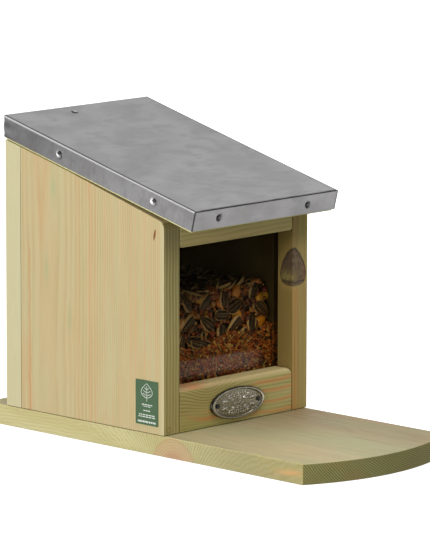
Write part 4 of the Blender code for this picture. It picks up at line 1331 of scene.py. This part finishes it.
def flat_outline(name, outline, x, thick, material, replaces=()):
    """A thin sheet on the left side from an outline of (y, z) points."""
    shape = bmesh.new()
    outer, inner = [[shape.verts.new((level, y, z)) for y, z in outline] for level in (x, x + thick)]
    shape.faces.new(outer)
    shape.faces.new(reversed(inner))
    bridge(shape, outer, inner)
    add_piece(name, shape, material, "house", replaces)


def rounded(low, high, radius):
    """Outline of a rectangle with rounded corners."""
    points = []
    for right, top, start in ((1, 1, 0), (0, 1, 90), (0, 0, 180), (1, 0, 270)):
        a = high[0] - radius if right else low[0] + radius
        b = high[1] - radius if top else low[1] + radius
        for turn in [math.radians(start + 22.5 * k) for k in range(5)]:
            points.append((a + radius * math.cos(turn), b + radius * math.sin(turn)))
    return points


def ribbon(path, width):
    """Outline of a stroke of even width along a path of points."""
    near, far = [], []
    for k, (a, b) in enumerate(path):
        before = path[max(0, k - 1)]
        after = path[min(len(path) - 1, k + 1)]
        along = Vector((after[0] - before[0], after[1] - before[1])).normalized() * (width / 2)
        near.append((a - along.y, b + along.x))
        far.append((a + along.y, b - along.x))
    return near + far[::-1]


# Rows of plain bars below the leaf: level of the middle, length and height, as shares of the label
LABEL_BARS = (
    (0.455, 0.50, 0.026),
    (0.415, 0.34, 0.018),
    (0.32, 0.30, 0.026),
    (0.225, 0.70, 0.024),
    (0.18, 0.74, 0.024),
    (0.07, 0.80, 0.042),
)


def paper_label():
    """Green label with a generic leaf above plain bars."""
    low = (LABEL_LOW.y, LABEL_LOW.z)
    high = (LABEL_HIGH.y, LABEL_HIGH.z)
    thick = LABEL_HIGH.x - LABEL_LOW.x
    flat_outline("label_paper", rounded(low, high, 0.5 * MM), LABEL_LOW.x, thick, label_material(), ("paper_label",))
    ink = print_material()
    middle = (low[0] + high[0]) / 2
    wide = high[0] - low[0]
    tall = high[1] - low[1]

    def add_print(name, outline):
        flat_outline(name, outline, LABEL_LOW.x - 0.06 * MM, 0.08 * MM, ink)

    def vein(share):
        return (middle, low[1] + tall * (0.60 + 0.33 * share))

    def edge_of_leaf(share, side):
        return (middle + side * 0.25 * wide * math.sin(math.pi * share ** 0.75), vein(share)[1])

    leaf = [[edge_of_leaf(k / 16, side) for k in range(17)] for side in (-1, 1)]
    leaf.append([(middle, low[1] + tall * 0.53), vein(0.82)])
    for share in (0.16, 0.36, 0.56):
        for side in (-1, 1):
            root, tip = vein(share), edge_of_leaf(share + 0.2, side)
            leaf.append([root, [a + (b - a) * 0.72 for a, b in zip(root, tip)]])
    for number, path in enumerate(leaf, 1):
        add_print(f"label_leaf_{number}", ribbon(path, 0.34 * MM))
    source = random.Random(3)
    for row, (level, share, height) in enumerate(LABEL_BARS, 1):
        start = middle - wide * share / 2
        end = middle + wide * share / 2
        bottom, top = [low[1] + tall * (level + side * height / 2) for side in (-1, 1)]
        number = 0
        while start < end - 0.5 * MM:
            stop = min(end, start + source.uniform(1.0, 2.6) * MM)
            number += 1
            add_print(f"label_bar_{row}_{number}", rounded((start, bottom), (stop, top), 0.18 * MM))
            start = stop + 0.35 * MM


# ---------------------------------------------------------------- the scene


def build():
    """All pieces of the feeding house."""
    steel = steel_material("bright_steel", (150, 150, 150), 0.35)
    nail_steel = steel_material("nail_steel", (74, 74, 74), 0.4)
    dull_steel = steel_material("dull_steel", (26, 26, 26), 0.6)
    screw_steel = steel_material("screw_steel", (176, 168, 140), 0.32)
    for node, material, slot, width, segments in (
        ("left_side_panel", left_panel_wood(), "pine_side", 0.3, 2),
        ("right_side_panel", right_panel_wood(), "pine_side", 0.3, 2),
        ("back_board", back_board_wood(), "pine_back", 0.22, 2),
        ("base_board", base_board_wood(), "pine_base", 0.5, 3),
        ("front_board", front_board_wood(), "pine_front", 0.4, 2),
        ("top_rail", rail_wood(), "pine_front", 0.4, 2),
        ("roof_board", lid_wood(), "pine_lid", 0.4, 2),
        ("window_pane", pane_material(), "clear_pane", 0.2, 1),
    ):
        softened(node, material, width * MM, segments)
    folded_cover(zinc_material())
    for side in ("left", "right"):
        for part in ("house_leaf", "roof_leaf"):
            softened(f"{side}_hinge_{part}", steel, 0.15 * MM)
        softened(f"{side}_hinge_pin", nail_steel, 0.12 * MM)
    into_lid = {"top": -NORMAL, "front": ALONG, "left": RIGHT, "right": -RIGHT}
    for name, face, _ in NAILS:
        fastener(name, into_lid[face], "nail", dull_steel if face == "top" else nail_steel)
    source = random.Random(5)
    for name in FASTENERS:
        if name.startswith("plate_nail"):
            fastener(name, BACKWARD, "nail", nail_steel)
        elif name.startswith("back_nail"):
            fastener(name, -BACKWARD, "nail", nail_steel)
        elif "screw" in name:
            inward = UP if name.startswith("base") else -BACKWARD
            fastener(name, inward, "screw", screw_steel, source.uniform(0, math.pi))
    make_seeds()
    oval_plate(pewter_material())
    paper_label()


def add_floor():
    """A wide plain floor just under the object, which throws no tint back at it."""
    shape = bmesh.new()
    bmesh.ops.create_grid(shape, x_segments=8, y_segments=8, size=6.0, matrix=Matrix.Translation((0, 0, -0.0002)))
    mesh = bpy.data.meshes.new("studio_floor")
    shape.to_mesh(mesh)
    shape.free()
    mesh.materials.append(floor_material())
    floor = bpy.data.objects.new("studio_floor", mesh)
    bpy.context.scene.collection.objects.link(floor)
    floor.visible_diffuse = False


def add_light(name, place, size, power, colour):
    """A square soft light aimed at the middle of the object."""
    data = bpy.data.lights.new(name, "AREA")
    data.shape = "SQUARE"
    data.size = size
    data.energy = power
    data.color = colour
    light = bpy.data.objects.new(name, data)
    light.location = place
    light.rotation_euler = (Vector((0.0, 0.0, 0.08)) - Vector(place)).to_track_quat("-Z", "Y").to_euler()
    bpy.context.scene.collection.objects.link(light)


def light_scene():
    """Soft key from the left, overhead and rear fill, and a dim even surround."""
    world = bpy.data.worlds.new("surround")
    world.use_nodes = True
    background = world.node_tree.nodes["Background"]
    background.inputs["Color"].default_value = (1.0, 1.0, 1.0, 1.0)
    background.inputs["Strength"].default_value = 0.24
    bpy.context.scene.world = world
    add_light("key", (-1.95, -0.35, 0.42), 1.2, 30.5, (1.0, 0.98, 0.95))
    add_light("top", (0.1, -0.3, 2.0), 1.8, 37.5, (1.0, 0.985, 0.97))
    add_light("rear", (1.25, 1.25, 1.15), 1.7, 8.0, (1.0, 1.0, 1.0))
    bpy.context.scene.view_settings.view_transform = "Standard"


def add_camera():
    """The photograph's viewpoint: a long lens, from the front left and a little above."""
    data = bpy.data.cameras.new("camera")
    data.lens = 308.76
    data.sensor_width = 36.0
    data.clip_end = 50.0
    camera = bpy.data.objects.new("camera", data)
    turn, tilt, roll = [
        Matrix.Rotation(math.radians(angle), 4, axis) for angle, axis in ((-46.011, "Z"), (80.438, "X"), (0.116, "Z"))
    ]
    camera.matrix_world = Matrix.Translation((-1.77318, -1.70725, 0.50894)) @ turn @ tilt @ roll
    bpy.context.scene.collection.objects.link(camera)
    bpy.context.scene.camera = camera


for leftover in ("Cube", "Light", "Camera"):
    if leftover in bpy.data.objects:
        bpy.data.objects.remove(bpy.data.objects[leftover], do_unlink=True)

build()
add_floor()
light_scene()
add_camera()
